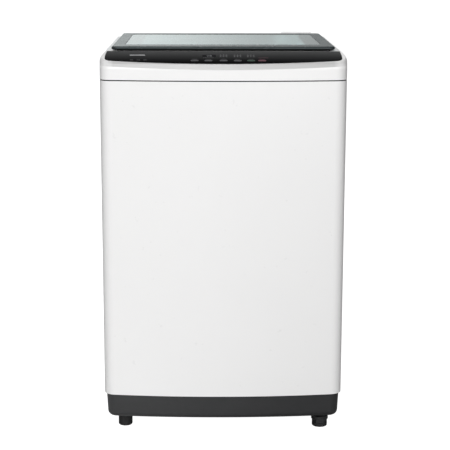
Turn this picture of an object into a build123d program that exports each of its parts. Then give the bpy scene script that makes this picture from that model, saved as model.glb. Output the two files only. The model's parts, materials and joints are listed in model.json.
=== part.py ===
from build123d import *
import math
import os

# Top load washing machine, in millimetres.
# Origin: the middle of the footprint, on the floor. X is the width, -Y the front, +Z up.

os.makedirs("parts", exist_ok=True)

# ---- cabinet ----
WIDTH = 550.0
HALF = WIDTH / 2
CORNER_Y = -265.0            # plane of the two front corners
REAR_Y = 268.0               # outer face of the back
CROWN = 20.0                 # how far the front bows out at its middle
CORNER_R = 28.0              # upright front corners
SHEET = 0.8                  # steel sheet
BASE_BOTTOM_Z = 44.0
CABINET_BOTTOM_Z = 101.5
CABINET_TOP_Z = 826.6
WRAP_REAR_Y = REAR_Y - SHEET

# ---- top cover ----
COVER_BOTTOM_Z = 829.0
BEVEL_Z = 853.5              # where the bevel under the control slope begins
BEVEL_IN = 3.6
SLOPE_LOW_Y = CORNER_Y - CROWN + BEVEL_IN
SLOPE_LOW_Z = 864.5
SLOPE_TOP_Y = -215.0
DECK_Z = 888.5
SLOPE = math.atan((DECK_Z - SLOPE_LOW_Z) / (SLOPE_TOP_Y - SLOPE_LOW_Y))
SHOULDER_R = 25.7
SHOULDER_TOP_Z = 892.0       # where the shoulder would end if the deck did not cut it
WALL = 3.5
WELL_W = 410.0
WELL_D = 372.0
WELL_R = 110.0
WELL_FLOOR_Z = 812.0
WELL_HOLE_R = 183.0
TOTAL_Z = 899.6

# ---- tub and drive, all on one upright axis ----
TUB_Y = -8.0
TUB_R = 240.0
TUB_WALL = 3.0
TUB_FLOOR_Z = 262.0
TUB_TOP_Z = 772.0
BASKET_R = 228.0
BASKET_BOTTOM_Z = 296.0
BASKET_TOP_Z = 716.0
RING_TOP_Z = 762.0
ROD_RADIUS = 322.0           # of the circle through the four suspension rods
ROD_R = 4.0
LUG_Z = 430.0
SPIN_R = 15.0
WASH_R = 8.95
INPUT_R = 7.0
RUN_GAP = 0.05               # radial clearance of a running fit
FRAME_Z = 240.0              # underside of the drive frame
MOTOR_X = 158.0
PULLEY_Z = 104.0
PULLEY_GROOVE_R = 66.0
MOTOR_GROOVE_R = 18.0
BELT_T = 5.0

# ---- lid ----
LID_W = 501.0
LID_FRONT_Y = -217.0
LID_REAR_Y = 227.0
LID_Z = 891.0
LID_TOP_Z = 898.5
LID_CORNER_R = 12.0
LID_TOP_R = 4.0              # rounding of its upper and lower edges
LID_UNDER_R = 3.2
GLASS_DOWN = 0.4             # glass below the frame's top
HINGE_Y = 236.0
HINGE_Z = 890.0
LUG_X = 215.0
PIN_R = 3.0

# ---- feet ----
FOOT_X = 231.0
FOOT_FRONT_Y = -185.0         # fixed foot, front left
LEVEL_FOOT_Y = -195.0         # levelling foot, front right
FOOT_REAR_Y = 215.0
FOOT_R = 16.5
STUD_R = 5.0
STUD_HOLE_R = 5.4
SOCKET_R = 15.0
SOCKET_H = 34.0
PLATE_X = 229.0               # corner plates of the base, over the feet
PLATE_W = 56.0
PLATE_FRONT_Y = -191.0
PLATE_FRONT_D = 50.0
PLATE_REAR_D = 70.0

tub_axis = Axis((0, TUB_Y, 0), (0, 0, 1))


def bowed_outline(sketch, inset, corner, front_shift=0.0, crown=CROWN):
    """Cabinet's plan drawn in by inset: straight sides and back, bowed front, round front corners."""
    half = HALF - inset
    front = CORNER_Y + inset + front_shift
    rear = REAR_Y - inset
    with BuildLine() as outline:
        Line((-half, rear), (-half, front))
        ThreePointArc((-half, front), (0, front - crown), (half, front))
        Line((half, front), (half, rear))
        Line((half, rear), (-half, rear))
    make_face(outline.edges())
    fillet(sketch.vertices().group_by(Axis.Y)[0], corner)


def slope_z(y):
    """Height of the control slope at y."""
    return SLOPE_LOW_Z + (y - SLOPE_LOW_Y) * math.tan(SLOPE)


def slope_plane(x, run, depth=0.0):
    """Plane on the control slope, run mm up from its lower edge and depth mm under its surface."""
    normal = Vector(0, -math.sin(SLOPE), math.cos(SLOPE))
    along = Vector(0, math.cos(SLOPE), math.sin(SLOPE))
    origin = Vector(x, SLOPE_LOW_Y, SLOPE_LOW_Z) + along * run - normal * depth
    return Plane(origin=origin, x_dir=(1, 0, 0), z_dir=normal)


def tub_plane(z):
    """Level plane at z with its origin on the tub's axis."""
    return Plane.XY.offset(z).move(Location((0, TUB_Y, 0)))


def upright_plane(x, z):
    """Plane facing the front, through the tub's axis, with its origin at x and z."""
    return Plane(origin=(x, TUB_Y, z), x_dir=(1, 0, 0), z_dir=(0, -1, 0))


def above_slope(depth):
    """Side profile, in YZ, of everything above the slope sunk by depth and above the deck."""
    drop = depth / math.cos(SLOPE)
    far = SLOPE_LOW_Y - 40
    with BuildLine() as profile:
        Polyline(
            (far, slope_z(far) - drop),
            (SLOPE_TOP_Y, DECK_Z - drop),
            (SLOPE_TOP_Y, DECK_Z + 60),
            (far, DECK_Z + 60),
            close=True,
        )
    make_face(profile.edges())


# ================= cabinet =================

with BuildPart() as cabinet_wrap:
    with BuildSketch(Plane.XY.offset(CABINET_BOTTOM_Z)) as wrap_plan:
        bowed_outline(wrap_plan, 0, CORNER_R)
        with Locations((0, REAR_Y)):
            Rectangle(WIDTH, 2 * SHEET, mode=Mode.SUBTRACT)
        offset(amount=-SHEET, mode=Mode.SUBTRACT)
        with Locations((0, WRAP_REAR_Y)):
            Rectangle(WIDTH - 44, 6, mode=Mode.SUBTRACT)
    extrude(amount=CABINET_TOP_Z - CABINET_BOTTOM_Z)
cabinet_wrap.part.label = "cabinet_wrap"
export_step(cabinet_wrap.part, "parts/cabinet_wrap.step")

CORD_X = -200.0
CORD_Z = 780.0
DRAIN_X = -200.0
DRAIN_Z = 160.0
PRESSED_W = 380.0
PRESSED_H = 210.0
PRESSED_Z = (330.0, 610.0)
PRESSED_OUT = 4.0
with BuildPart() as rear_cover:
    with BuildSketch(Plane.XZ.offset(-REAR_Y)):
        with Locations((0, (CABINET_BOTTOM_Z + CABINET_TOP_Z) / 2)):
            Rectangle(WIDTH - 8, CABINET_TOP_Z - CABINET_BOTTOM_Z)
        with Locations((CORD_X, CORD_Z)):
            Circle(9.2, mode=Mode.SUBTRACT)
        with Locations((DRAIN_X, DRAIN_Z)):
            Circle(15.3, mode=Mode.SUBTRACT)
    extrude(amount=SHEET)
    # two pressed panels stand out of the sheet
    with BuildSketch(Plane.XZ.offset(-REAR_Y)):
        with Locations([(0, z) for z in PRESSED_Z]):
            RectangleRounded(PRESSED_W, PRESSED_H, 20)
    extrude(amount=-PRESSED_OUT, taper=30)
    with BuildSketch(Plane.XZ.offset(-WRAP_REAR_Y)):
        with Locations([(0, z) for z in PRESSED_Z]):
            RectangleRounded(PRESSED_W - 2, PRESSED_H - 2, 19)
    extrude(amount=-PRESSED_OUT, taper=30, mode=Mode.SUBTRACT)
rear_cover.part.label = "rear_cover"
export_step(rear_cover.part, "parts/rear_cover.step")

with BuildPart() as rear_cover_screws:
    with BuildSketch(Plane.XZ.offset(-REAR_Y)):
        with GridLocations(WIDTH - 28, 170, 2, 5):
            with Locations((0, (CABINET_BOTTOM_Z + CABINET_TOP_Z) / 2)):
                Circle(4.5)
    extrude(amount=-2.6)
    fillet(rear_cover_screws.edges().group_by(Axis.Y)[-1], 1.2)
rear_cover_screws.part.label = "rear_cover_screws"
export_step(rear_cover_screws.part, "parts/rear_cover_screws.step")

BASE_IN = 4.5
BASE_WALL = 4.0
PLATE_T = 12.0
with BuildPart() as base_frame:
    with BuildSketch(Plane.XY.offset(CABINET_BOTTOM_Z)) as base_plan:
        bowed_outline(base_plan, BASE_IN, CORNER_R - BASE_IN, crown=CROWN - 3)
    extrude(amount=-(CABINET_BOTTOM_Z - BASE_BOTTOM_Z), taper=3)
    fillet(base_frame.faces().sort_by(Axis.Z)[0].edges(), 13)
    with BuildSketch(Plane.XY.offset(CABINET_BOTTOM_Z)) as base_inner:
        bowed_outline(base_inner, BASE_IN + BASE_WALL, CORNER_R - BASE_IN - BASE_WALL, crown=CROWN - 3)
    extrude(amount=-30, taper=3, mode=Mode.SUBTRACT)
    with BuildSketch(Plane.XY.offset(BASE_BOTTOM_Z)):
        RectangleRounded(2 * (HALF - 26), 2 * (HALF - 30), 10)
    extrude(amount=60, mode=Mode.SUBTRACT)
    # corner plates that the feet carry, each with a socket for the foot's stud
    with BuildSketch(Plane.XY.offset(BASE_BOTTOM_Z)):
        with Locations((PLATE_X, PLATE_FRONT_Y), (-PLATE_X, PLATE_FRONT_Y)):
            Rectangle(PLATE_W, PLATE_FRONT_D)
        with Locations((PLATE_X, FOOT_REAR_Y), (-PLATE_X, FOOT_REAR_Y)):
            Rectangle(PLATE_W, PLATE_REAR_D)
    extrude(amount=PLATE_T)
    with Locations(
        (FOOT_X, LEVEL_FOOT_Y, BASE_BOTTOM_Z),
        (-FOOT_X, FOOT_FRONT_Y, BASE_BOTTOM_Z),
        (FOOT_X, FOOT_REAR_Y, BASE_BOTTOM_Z),
        (-FOOT_X, FOOT_REAR_Y, BASE_BOTTOM_Z),
    ):
        Cylinder(SOCKET_R, SOCKET_H, align=(Align.CENTER, Align.CENTER, Align.MIN))
        Cylinder(
            STUD_HOLE_R,
            SOCKET_H,
            align=(Align.CENTER, Align.CENTER, Align.MIN),
            mode=Mode.SUBTRACT,
        )
base_frame.part.label = "base_frame"
export_step(base_frame.part, "parts/base_frame.step")

with BuildPart() as bottom_guard:
    with BuildSketch(Plane.XY.offset(BASE_BOTTOM_Z + 4)):
        Rectangle(390, 486)
        Rectangle(496, 330)
        with GridLocations(0, 26, 1, 11):
            SlotOverall(300, 8, mode=Mode.SUBTRACT)
    extrude(amount=2)
bottom_guard.part.label = "bottom_guard"
export_step(bottom_guard.part, "parts/bottom_guard.step")

FIXED_STUD_H = 30.0
fixed_places = [(-FOOT_X, FOOT_FRONT_Y), (FOOT_X, FOOT_REAR_Y), (-FOOT_X, FOOT_REAR_Y)]
with BuildPart() as fixed_feet:
    with BuildSketch():
        with Locations(fixed_places):
            Circle(FOOT_R)
    extrude(amount=BASE_BOTTOM_Z)
    fillet(fixed_feet.edges().group_by(Axis.Z)[0], 4)
    with BuildSketch(Plane.XY.offset(BASE_BOTTOM_Z)):
        with Locations(fixed_places):
            Circle(STUD_R)
    extrude(amount=FIXED_STUD_H)
fixed_feet.part.label = "fixed_feet"
export_step(fixed_feet.part, "parts/fixed_feet.step")

PAD_Z = 9.0
PAD_R = 18.0
HEX_R = 18.0
HEX_H = 9.0
FLANGE_R = 20.0
FLANGE_H = 8.0
LEVEL_STUD_H = 63.0          # from the top of the hexagon
with BuildPart() as foot_pad:
    with Locations((FOOT_X, LEVEL_FOOT_Y, 0)):
        Cylinder(PAD_R, PAD_Z, align=(Align.CENTER, Align.CENTER, Align.MIN))
    fillet(foot_pad.edges().group_by(Axis.Z)[0], 2.5)
foot_pad.part.label = "foot_pad"
export_step(foot_pad.part, "parts/foot_pad.step")

with BuildPart() as foot_screw:
    with BuildSketch(Plane.XY.offset(PAD_Z)):
        with Locations((FOOT_X, LEVEL_FOOT_Y)):
            RegularPolygon(HEX_R, 6)
    extrude(amount=HEX_H)
    with Locations((FOOT_X, LEVEL_FOOT_Y, PAD_Z + HEX_H)):
        Cylinder(FLANGE_R, FLANGE_H, align=(Align.CENTER, Align.CENTER, Align.MIN))
        Cylinder(STUD_R, LEVEL_STUD_H, align=(Align.CENTER, Align.CENTER, Align.MIN))
foot_screw.part.label = "foot_screw"
export_step(foot_screw.part, "parts/foot_screw.step")

# ================= top cover and controls =================

BOARD_WINDOW_X = (-86.0, 108.0)
DRAWER_X = 36.0
DRAWER_W = 148.0
DRAWER_FACE_W = 153.0
DRAWER_Z = 850.0
DRAWER_FACE_H = 43.0
WINDOW_GAP = 1.2
WELL_BACK_Y = TUB_Y + WELL_D / 2
NOZZLE_X = 158.0
NOZZLE_Z = 848.0
NOZZLE_R = 13.2              # G3/4 thread, outside
NOZZLE_END_Y = 285.0
PANEL_T = 3.0
PANEL_X = 262.5              # half its width along the lower edge
PANEL_BACK_X = 260.0
PANEL_SIDE_Y = -238.0        # behind here the sides close in towards PANEL_BACK_X
PANEL_CORNER_Y = CORNER_Y + 2.5
PANEL_LOW_Y = SLOPE_LOW_Y + 2.4
PANEL_CORNER_R = 14.0
PANEL_GAP = 0.3              # between the panel and its pocket
STEP_X = 193.0
STEP_W = 78.0
STEP_D = 14.0


def panel_plan(margin):
    """Plan of the control panel on the slope, drawn in by margin."""
    back = SLOPE_TOP_Y - 1
    with BuildSketch(Plane.XY.offset(SLOPE_LOW_Z - 20), mode=Mode.PRIVATE) as plan:
        side, back_x = PANEL_X - margin, PANEL_BACK_X - margin
        corner_y = PANEL_CORNER_Y + margin
        with BuildLine():
            Line((-back_x, back), (-side, PANEL_SIDE_Y))
            Line((-side, PANEL_SIDE_Y), (-side, corner_y))
            ThreePointArc((-side, corner_y), (0, PANEL_LOW_Y + margin), (side, corner_y))
            Line((side, corner_y), (side, PANEL_SIDE_Y))
            Line((side, PANEL_SIDE_Y), (back_x, back))
            Line((back_x, back), (-back_x, back))
        make_face()
        fillet(plan.vertices().group_by(Axis.Y)[0], PANEL_CORNER_R)
    return plan.sketch


with BuildPart() as panel_pocket:
    add(panel_plan(-PANEL_GAP))
    extrude(amount=60)
    with BuildSketch(Plane.YZ):
        above_slope(PANEL_T)
    extrude(amount=HALF, both=True, mode=Mode.INTERSECT)

with BuildPart() as top_cover:
    with BuildSketch(Plane.XY.offset(COVER_BOTTOM_Z)) as cover_plan:
        bowed_outline(cover_plan, 0, CORNER_R)
    extrude(amount=BEVEL_Z - COVER_BOTTOM_Z)
    with BuildSketch(Plane.XY.offset(BEVEL_Z)) as bevel_low:
        bowed_outline(bevel_low, 0, CORNER_R)
    with BuildSketch(Plane.XY.offset(SLOPE_LOW_Z)) as bevel_high:
        bowed_outline(bevel_high, 0, CORNER_R, front_shift=BEVEL_IN)
    loft()
    with BuildSketch(Plane.XY.offset(SLOPE_LOW_Z)) as upper_plan:
        bowed_outline(upper_plan, 0, CORNER_R, front_shift=BEVEL_IN)
    extrude(amount=SHOULDER_TOP_Z - SLOPE_LOW_Z)
    fillet(top_cover.faces().sort_by(Axis.Z)[-1].edges(), SHOULDER_R)
    with BuildSketch(Plane.YZ):
        above_slope(0)
        with BuildLine():
            Polyline(
                (SLOPE_TOP_Y - 1, DECK_Z),
                (REAR_Y + 10, DECK_Z),
                (REAR_Y + 10, DECK_Z + 20),
                (SLOPE_TOP_Y - 1, DECK_Z + 20),
                close=True,
            )
        make_face()
    extrude(amount=HALF + 5, both=True, mode=Mode.SUBTRACT)
    # raised step over the water inlet, behind the lid
    with Locations((STEP_X, REAR_Y - 2 - STEP_D / 2, DECK_Z - 30)):
        Box(STEP_W, STEP_D, TOTAL_Z - DECK_Z + 30, align=(Align.CENTER, Align.CENTER, Align.MIN))
    fillet(top_cover.faces().sort_by(Axis.Z)[-1].edges(), 3)
    # hollow underside
    with BuildSketch(Plane.XY.offset(COVER_BOTTOM_Z)) as void_low:
        bowed_outline(void_low, WALL, CORNER_R - WALL)
    extrude(amount=SLOPE_LOW_Z - 10 - COVER_BOTTOM_Z, mode=Mode.SUBTRACT)
    with BuildPart(mode=Mode.PRIVATE) as void_high:
        with BuildSketch(Plane.XY.offset(SLOPE_LOW_Z - 11)) as void_plan:
            bowed_outline(void_plan, 15, 12)
        extrude(amount=DECK_Z - WALL - SLOPE_LOW_Z + 11)
        with BuildSketch(Plane.YZ):
            above_slope(PANEL_T + WALL)
        extrude(amount=HALF, both=True, mode=Mode.SUBTRACT)
    add(void_high.part, mode=Mode.SUBTRACT)
    # skirt that drops inside the cabinet wrap
    with BuildSketch(Plane.XY.offset(COVER_BOTTOM_Z - 12)) as skirt_plan:
        bowed_outline(skirt_plan, 2, CORNER_R - 2)
        offset(amount=-WALL, mode=Mode.SUBTRACT)
    extrude(amount=14)
    # the well that the laundry goes in through
    with BuildSketch(tub_plane(WELL_FLOOR_Z)):
        RectangleRounded(WELL_W + 2 * WALL, WELL_D + 2 * WALL, WELL_R + WALL)
    extrude(amount=DECK_Z - WELL_FLOOR_Z)
    with BuildSketch(tub_plane(WELL_FLOOR_Z + WALL)):
        RectangleRounded(WELL_W, WELL_D, WELL_R)
    extrude(amount=DECK_Z - WELL_FLOOR_Z, mode=Mode.SUBTRACT)
    with BuildSketch(tub_plane(WELL_FLOOR_Z - 1)):
        Circle(WELL_HOLE_R)
    extrude(amount=10, mode=Mode.SUBTRACT)
    # window for the detergent drawer in the back of the well
    with Locations((DRAWER_X, WELL_BACK_Y, DRAWER_Z)):
        Box(
            DRAWER_FACE_W + 2 * WINDOW_GAP,
            20,
            DRAWER_FACE_H + 2 * WINDOW_GAP,
            mode=Mode.SUBTRACT,
        )
    # pocket for the control panel, and the opening under its buttons
    add(panel_pocket.part, mode=Mode.SUBTRACT)
    with BuildSketch(slope_plane(sum(BOARD_WINDOW_X) / 2, 30)):
        Rectangle(BOARD_WINDOW_X[1] - BOARD_WINDOW_X[0], 44)
    extrude(amount=-12, mode=Mode.SUBTRACT)
    # hinge pockets with an ear at each side for the lid's pin
    for side in (-1, 1):
        with Locations((side * LUG_X, HINGE_Y - 1, DECK_Z)):
            Box(54, 34, 11, align=(Align.CENTER, Align.CENTER, Align.MAX))
        with Locations((side * LUG_X, HINGE_Y - 1, DECK_Z + 1)):
            Box(44, 26, 9, align=(Align.CENTER, Align.CENTER, Align.MAX), mode=Mode.SUBTRACT)
        for ear in (-1, 1):
            with BuildSketch(Plane.YZ.offset(side * LUG_X + ear * 24.5)):
                with Locations((HINGE_Y, HINGE_Z)):
                    Circle(6)
                with Locations((HINGE_Y, HINGE_Z - 5)):
                    Rectangle(12, 10)
            extrude(amount=2.5, both=True)
        with BuildSketch(Plane.YZ.offset(side * LUG_X)):
            with Locations((HINGE_Y, HINGE_Z)):
                Circle(PIN_R + RUN_GAP)
        extrude(amount=30, both=True, mode=Mode.SUBTRACT)
    # hole for the inlet nozzle
    with BuildSketch(Plane.XZ.offset(-REAR_Y - 1)):
        with Locations((NOZZLE_X, NOZZLE_Z)):
            Circle(NOZZLE_R + 1)
    extrude(amount=20, mode=Mode.SUBTRACT)
top_cover.part.label = "top_cover"
export_step(top_cover.part, "parts/top_cover.step")

BUTTON_RUN = 19.5            # up the slope from its lower edge
BUTTON_W = 18.0
BUTTON_H = 5.4
BUTTON_TRAVEL = 1.2
BUTTONS = {
    "button_delay": -64.0,
    "button_water_level": -33.5,
    "button_function": 0.0,
    "button_program": 31.0,
    "button_start_pause": 60.5,
    "button_power": 85.0,
}
DISPLAY_X = -32.0
DISPLAY_RUN = 44.0
DISPLAY_W = 30.0
DISPLAY_H = 12.0

with BuildPart() as control_panel:
    add(panel_plan(0))
    extrude(amount=60)
    with BuildSketch(Plane.YZ):
        above_slope(PANEL_T)
    extrude(amount=HALF, both=True, mode=Mode.INTERSECT)
    with BuildSketch(Plane.YZ):
        above_slope(-0.2)
    extrude(amount=HALF, both=True, mode=Mode.SUBTRACT)
    for x in BUTTONS.values():
        with BuildSketch(slope_plane(x, BUTTON_RUN, -5)):
            SlotOverall(BUTTON_W + 0.6, BUTTON_H + 0.6)
        extrude(amount=-15, mode=Mode.SUBTRACT)
    with BuildSketch(slope_plane(DISPLAY_X, DISPLAY_RUN, -5)):
        RectangleRounded(DISPLAY_W, DISPLAY_H, 2)
    extrude(amount=-6.2, mode=Mode.SUBTRACT)
control_panel.part.label = "control_panel"
export_step(control_panel.part, "parts/control_panel.step")

with BuildPart() as display_window:
    with BuildSketch(slope_plane(DISPLAY_X, DISPLAY_RUN, -0.2)):
        RectangleRounded(DISPLAY_W - 0.2, DISPLAY_H - 0.2, 1.9)
    extrude(amount=-1.4)
display_window.part.label = "display_window"
export_step(display_window.part, "parts/display_window.step")

FLANGE_DEPTH = PANEL_T + 0.2
for button_name, x in BUTTONS.items():
    with BuildPart() as button:
        with BuildSketch(slope_plane(x, BUTTON_RUN, -0.9)):
            SlotOverall(BUTTON_W, BUTTON_H)
        extrude(amount=-6.5)
        cap_face = button.faces().sort_by(Axis.Z)[-1]
        fillet(cap_face.edges(), 0.5)
        with BuildSketch(slope_plane(x, BUTTON_RUN, FLANGE_DEPTH)):
            SlotOverall(BUTTON_W + 3.6, BUTTON_H + 3.6)
        extrude(amount=-1.4)
    button.part.label = button_name
    export_step(button.part, f"parts/{button_name}.step")

BOARD_DEPTH = 10.5
SWITCH_H = 3.2
with BuildPart() as control_board:
    with BuildSketch(slope_plane(11, 33, BOARD_DEPTH)):
        Rectangle(186, 34)
    extrude(amount=-1.6)
    for x in BUTTONS.values():
        with BuildSketch(slope_plane(x, BUTTON_RUN, BOARD_DEPTH)):
            Rectangle(6, 6)
        extrude(amount=SWITCH_H)
    with BuildSketch(slope_plane(DISPLAY_X, DISPLAY_RUN, BOARD_DEPTH)):
        Rectangle(24, 9)
    extrude(amount=6)
control_board.part.label = "control_board"
export_step(control_board.part, "parts/control_board.step")

HOUSING_BACK_Y = 250.0
with BuildPart() as dispenser_housing:
    with Locations((DRAWER_X, WELL_BACK_Y + WALL, DRAWER_Z + 1)):
        Box(166, HOUSING_BACK_Y - WELL_BACK_Y - WALL, 56, align=(Align.CENTER, Align.MIN, Align.CENTER))
        Box(
            160,
            HOUSING_BACK_Y - WELL_BACK_Y - WALL - 3,
            50,
            align=(Align.CENTER, Align.MIN, Align.CENTER),
            mode=Mode.SUBTRACT,
        )
dispenser_housing.part.label = "dispenser_housing"
export_step(dispenser_housing.part, "parts/dispenser_housing.step")

TRAY_LONG = 64.0
with BuildPart() as detergent_drawer:
    with Locations((DRAWER_X, WELL_BACK_Y - 4, DRAWER_Z)):
        Box(DRAWER_FACE_W, 4, DRAWER_FACE_H, align=(Align.CENTER, Align.MIN, Align.CENTER))
    fillet(detergent_drawer.faces().sort_by(Axis.Y)[0].edges(), 1.5)
    with Locations((DRAWER_X, WELL_BACK_Y, DRAWER_Z - 18)):
        Box(DRAWER_W, TRAY_LONG, 30, align=(Align.CENTER, Align.MIN, Align.MIN))
    tray_top = DRAWER_Z - 16
    for cell_x in (-37.0, 37.0):
        with Locations((DRAWER_X + cell_x, WELL_BACK_Y + 2, tray_top)):
            Box(
                DRAWER_W / 2 - 4,
                TRAY_LONG - 4,
                40,
                align=(Align.CENTER, Align.MIN, Align.MIN),
                mode=Mode.SUBTRACT,
            )
detergent_drawer.part.label = "detergent_drawer"
export_step(detergent_drawer.part, "parts/detergent_drawer.step")

HOUSING_SIDE_X = DRAWER_X + 83
with BuildPart() as inlet_valve:
    with BuildSketch(Plane.XZ.offset(-NOZZLE_END_Y)):
        with Locations((NOZZLE_X, NOZZLE_Z)):
            Circle(NOZZLE_R)
            Circle(9, mode=Mode.SUBTRACT)
    extrude(amount=34)
    with Locations((NOZZLE_X, NOZZLE_END_Y - 34, NOZZLE_Z)):
        Box(34, 46, 30, align=(Align.CENTER, Align.MAX, Align.CENTER))
    # the solenoid stands on the body
    with Locations((NOZZLE_X, 232, NOZZLE_Z + 15)):
        Box(30, 32, 18, align=(Align.CENTER, Align.CENTER, Align.MIN))
    # outlet into the dispenser housing
    with BuildSketch(Plane.YZ.offset(HOUSING_SIDE_X)):
        with Locations((232, NOZZLE_Z)):
            Circle(9)
    extrude(amount=NOZZLE_X - 17 - HOUSING_SIDE_X)
inlet_valve.part.label = "inlet_valve"
export_step(inlet_valve.part, "parts/inlet_valve.step")

with BuildPart() as lid_switch:
    with Locations((-170, 206, DECK_Z - WALL)):
        Box(34, 22, 16, align=(Align.CENTER, Align.CENTER, Align.MAX))
        Box(12, 30, 8, align=(Align.CENTER, Align.CENTER, Align.MAX))
lid_switch.part.label = "lid_switch"
export_step(lid_switch.part, "parts/lid_switch.step")

with BuildPart() as level_sensor:
    with Locations((-100, 222, DECK_Z - WALL)):
        Cylinder(8, 14, align=(Align.CENTER, Align.CENTER, Align.MAX))
    with Locations((-100, 222, DECK_Z - WALL - 14)):
        Cylinder(25, 20, align=(Align.CENTER, Align.CENTER, Align.MAX))
    with Locations((-100, 222, DECK_Z - WALL - 34)):
        Cylinder(4, 14, align=(Align.CENTER, Align.CENTER, Align.MAX))
level_sensor.part.label = "level_sensor"
export_step(level_sensor.part, "parts/level_sensor.step")

with BuildPart() as cord_grommet:
    with BuildSketch(Plane.XZ.offset(-REAR_Y)):
        with Locations((CORD_X, CORD_Z)):
            Circle(14)
    extrude(amount=-4)
    with BuildSketch(Plane.XZ.offset(-REAR_Y)):
        with Locations((CORD_X, CORD_Z)):
            Circle(9)
    extrude(amount=10)
    with BuildSketch(Plane.XZ.offset(-REAR_Y - 5)):
        with Locations((CORD_X, CORD_Z)):
            Circle(4.2)
    extrude(amount=20, mode=Mode.SUBTRACT)
cord_grommet.part.label = "cord_grommet"
export_step(cord_grommet.part, "parts/cord_grommet.step")

SPIGOT_R = 15.0
with BuildPart() as drain_outlet:
    with BuildSketch(Plane.XZ.offset(-REAR_Y - 16)):
        with Locations((DRAIN_X, DRAIN_Z)):
            Circle(SPIGOT_R)
    extrude(amount=38)
    with BuildSketch(Plane.XZ.offset(-REAR_Y - 3)):
        with Locations((DRAIN_X, DRAIN_Z)):
            Circle(24)
    extrude(amount=3)
    with BuildSketch(Plane.XZ.offset(-REAR_Y - 17)):
        with Locations((DRAIN_X, DRAIN_Z)):
            Circle(SPIGOT_R - 3)
    extrude(amount=50, mode=Mode.SUBTRACT)
drain_outlet.part.label = "drain_outlet"
export_step(drain_outlet.part, "parts/drain_outlet.step")

# ================= lid =================

GLASS_W = 445.0
GLASS_FRONT_Y = LID_FRONT_Y + 62
GLASS_REAR_Y = LID_REAR_Y - 48
GLASS_T = 4.0
GLASS_MID_Y = (GLASS_FRONT_Y + GLASS_REAR_Y) / 2
GLASS_D = GLASS_REAR_Y - GLASS_FRONT_Y
LID_MID_Y = (LID_FRONT_Y + LID_REAR_Y) / 2
LEDGE = 8.0
with BuildPart() as lid_frame:
    with BuildSketch(Plane.XY.offset(LID_Z)):
        with Locations((0, LID_MID_Y)):
            RectangleRounded(LID_W, LID_REAR_Y - LID_FRONT_Y, LID_CORNER_R)
    extrude(amount=LID_TOP_Z - LID_Z)
    fillet(lid_frame.faces().sort_by(Axis.Z)[-1].edges(), LID_TOP_R)
    fillet(lid_frame.faces().sort_by(Axis.Z)[0].edges(), LID_UNDER_R)
    # rim that drops into the well
    with BuildSketch(tub_plane(LID_Z - 6)):
        RectangleRounded(WELL_W - 12, WELL_D - 12, WELL_R - 6)
        RectangleRounded(WELL_W - 18, WELL_D - 18, WELL_R - 9, mode=Mode.SUBTRACT)
    extrude(amount=8)
    # hinge lugs
    for side in (-1, 1):
        with BuildSketch(Plane.YZ.offset(side * LUG_X)):
            with Locations((HINGE_Y, HINGE_Z)):
                Circle(6)
            with BuildLine():
                Polyline(
                    (LID_REAR_Y - 6, LID_Z + 0.5),
                    (HINGE_Y, LID_Z + 0.5),
                    (HINGE_Y, HINGE_Z + 6),
                    (LID_REAR_Y - 6, HINGE_Z + 6),
                    close=True,
                )
            make_face()
        extrude(amount=19, both=True)
        with BuildSketch(Plane.YZ.offset(side * LUG_X)):
            with Locations((HINGE_Y, HINGE_Z)):
                Circle(PIN_R)
        extrude(amount=19, both=True, mode=Mode.SUBTRACT)
    # seat of the glass, and the window below it
    with BuildSketch(Plane.XY.offset(LID_TOP_Z - GLASS_DOWN - GLASS_T)):
        with Locations((0, GLASS_MID_Y)):
            RectangleRounded(GLASS_W + 0.6, GLASS_D + 0.6, 5)
    extrude(amount=20, mode=Mode.SUBTRACT)
    with BuildSketch(Plane.XY.offset(LID_Z - 10)):
        with Locations((0, GLASS_MID_Y)):
            RectangleRounded(min(GLASS_W, WELL_W - 18) - 2 * LEDGE, GLASS_D - 2 * LEDGE, 8)
    extrude(amount=40, mode=Mode.SUBTRACT)
lid_frame.part.label = "lid_frame"
export_step(lid_frame.part, "parts/lid_frame.step")

with BuildPart() as lid_glass:
    with BuildSketch(Plane.XY.offset(LID_TOP_Z - GLASS_DOWN - GLASS_T)):
        with Locations((0, GLASS_MID_Y)):
            RectangleRounded(GLASS_W, GLASS_D, 4.7)
    extrude(amount=GLASS_T)
    chamfer(lid_glass.faces().sort_by(Axis.Z)[-1].edges(), 0.6)
lid_glass.part.label = "lid_glass"
export_step(lid_glass.part, "parts/lid_glass.step")

with BuildPart() as lid_hinge_pins:
    for side in (-1, 1):
        with BuildSketch(Plane.YZ.offset(side * LUG_X)):
            with Locations((HINGE_Y, HINGE_Z)):
                Circle(PIN_R)
        extrude(amount=27, both=True)
lid_hinge_pins.part.label = "lid_hinge_pins"
export_step(lid_hinge_pins.part, "parts/lid_hinge_pins.step")

with BuildPart() as lid_bumpers:
    with BuildSketch(Plane.XY.offset(DECK_Z + 0.1)):
        with Locations((-225, LID_FRONT_Y + 14), (225, LID_FRONT_Y + 14)):
            Circle(5)
    extrude(amount=LID_Z - DECK_Z - 0.1)
lid_bumpers.part.label = "lid_bumpers"
export_step(lid_bumpers.part, "parts/lid_bumpers.step")

# ================= suspension =================

rod_places = [
    Location((ROD_RADIUS * math.cos(a), TUB_Y + ROD_RADIUS * math.sin(a), 0))
    for a in (math.radians(45 + 90 * quarter) for quarter in range(4))
]
BRACKET_Z = 790.0
CUP_Z = 312.0
CUP_R = 22.0
SPRING_R = 18.0
SPRING_IN_R = 14.0

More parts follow.
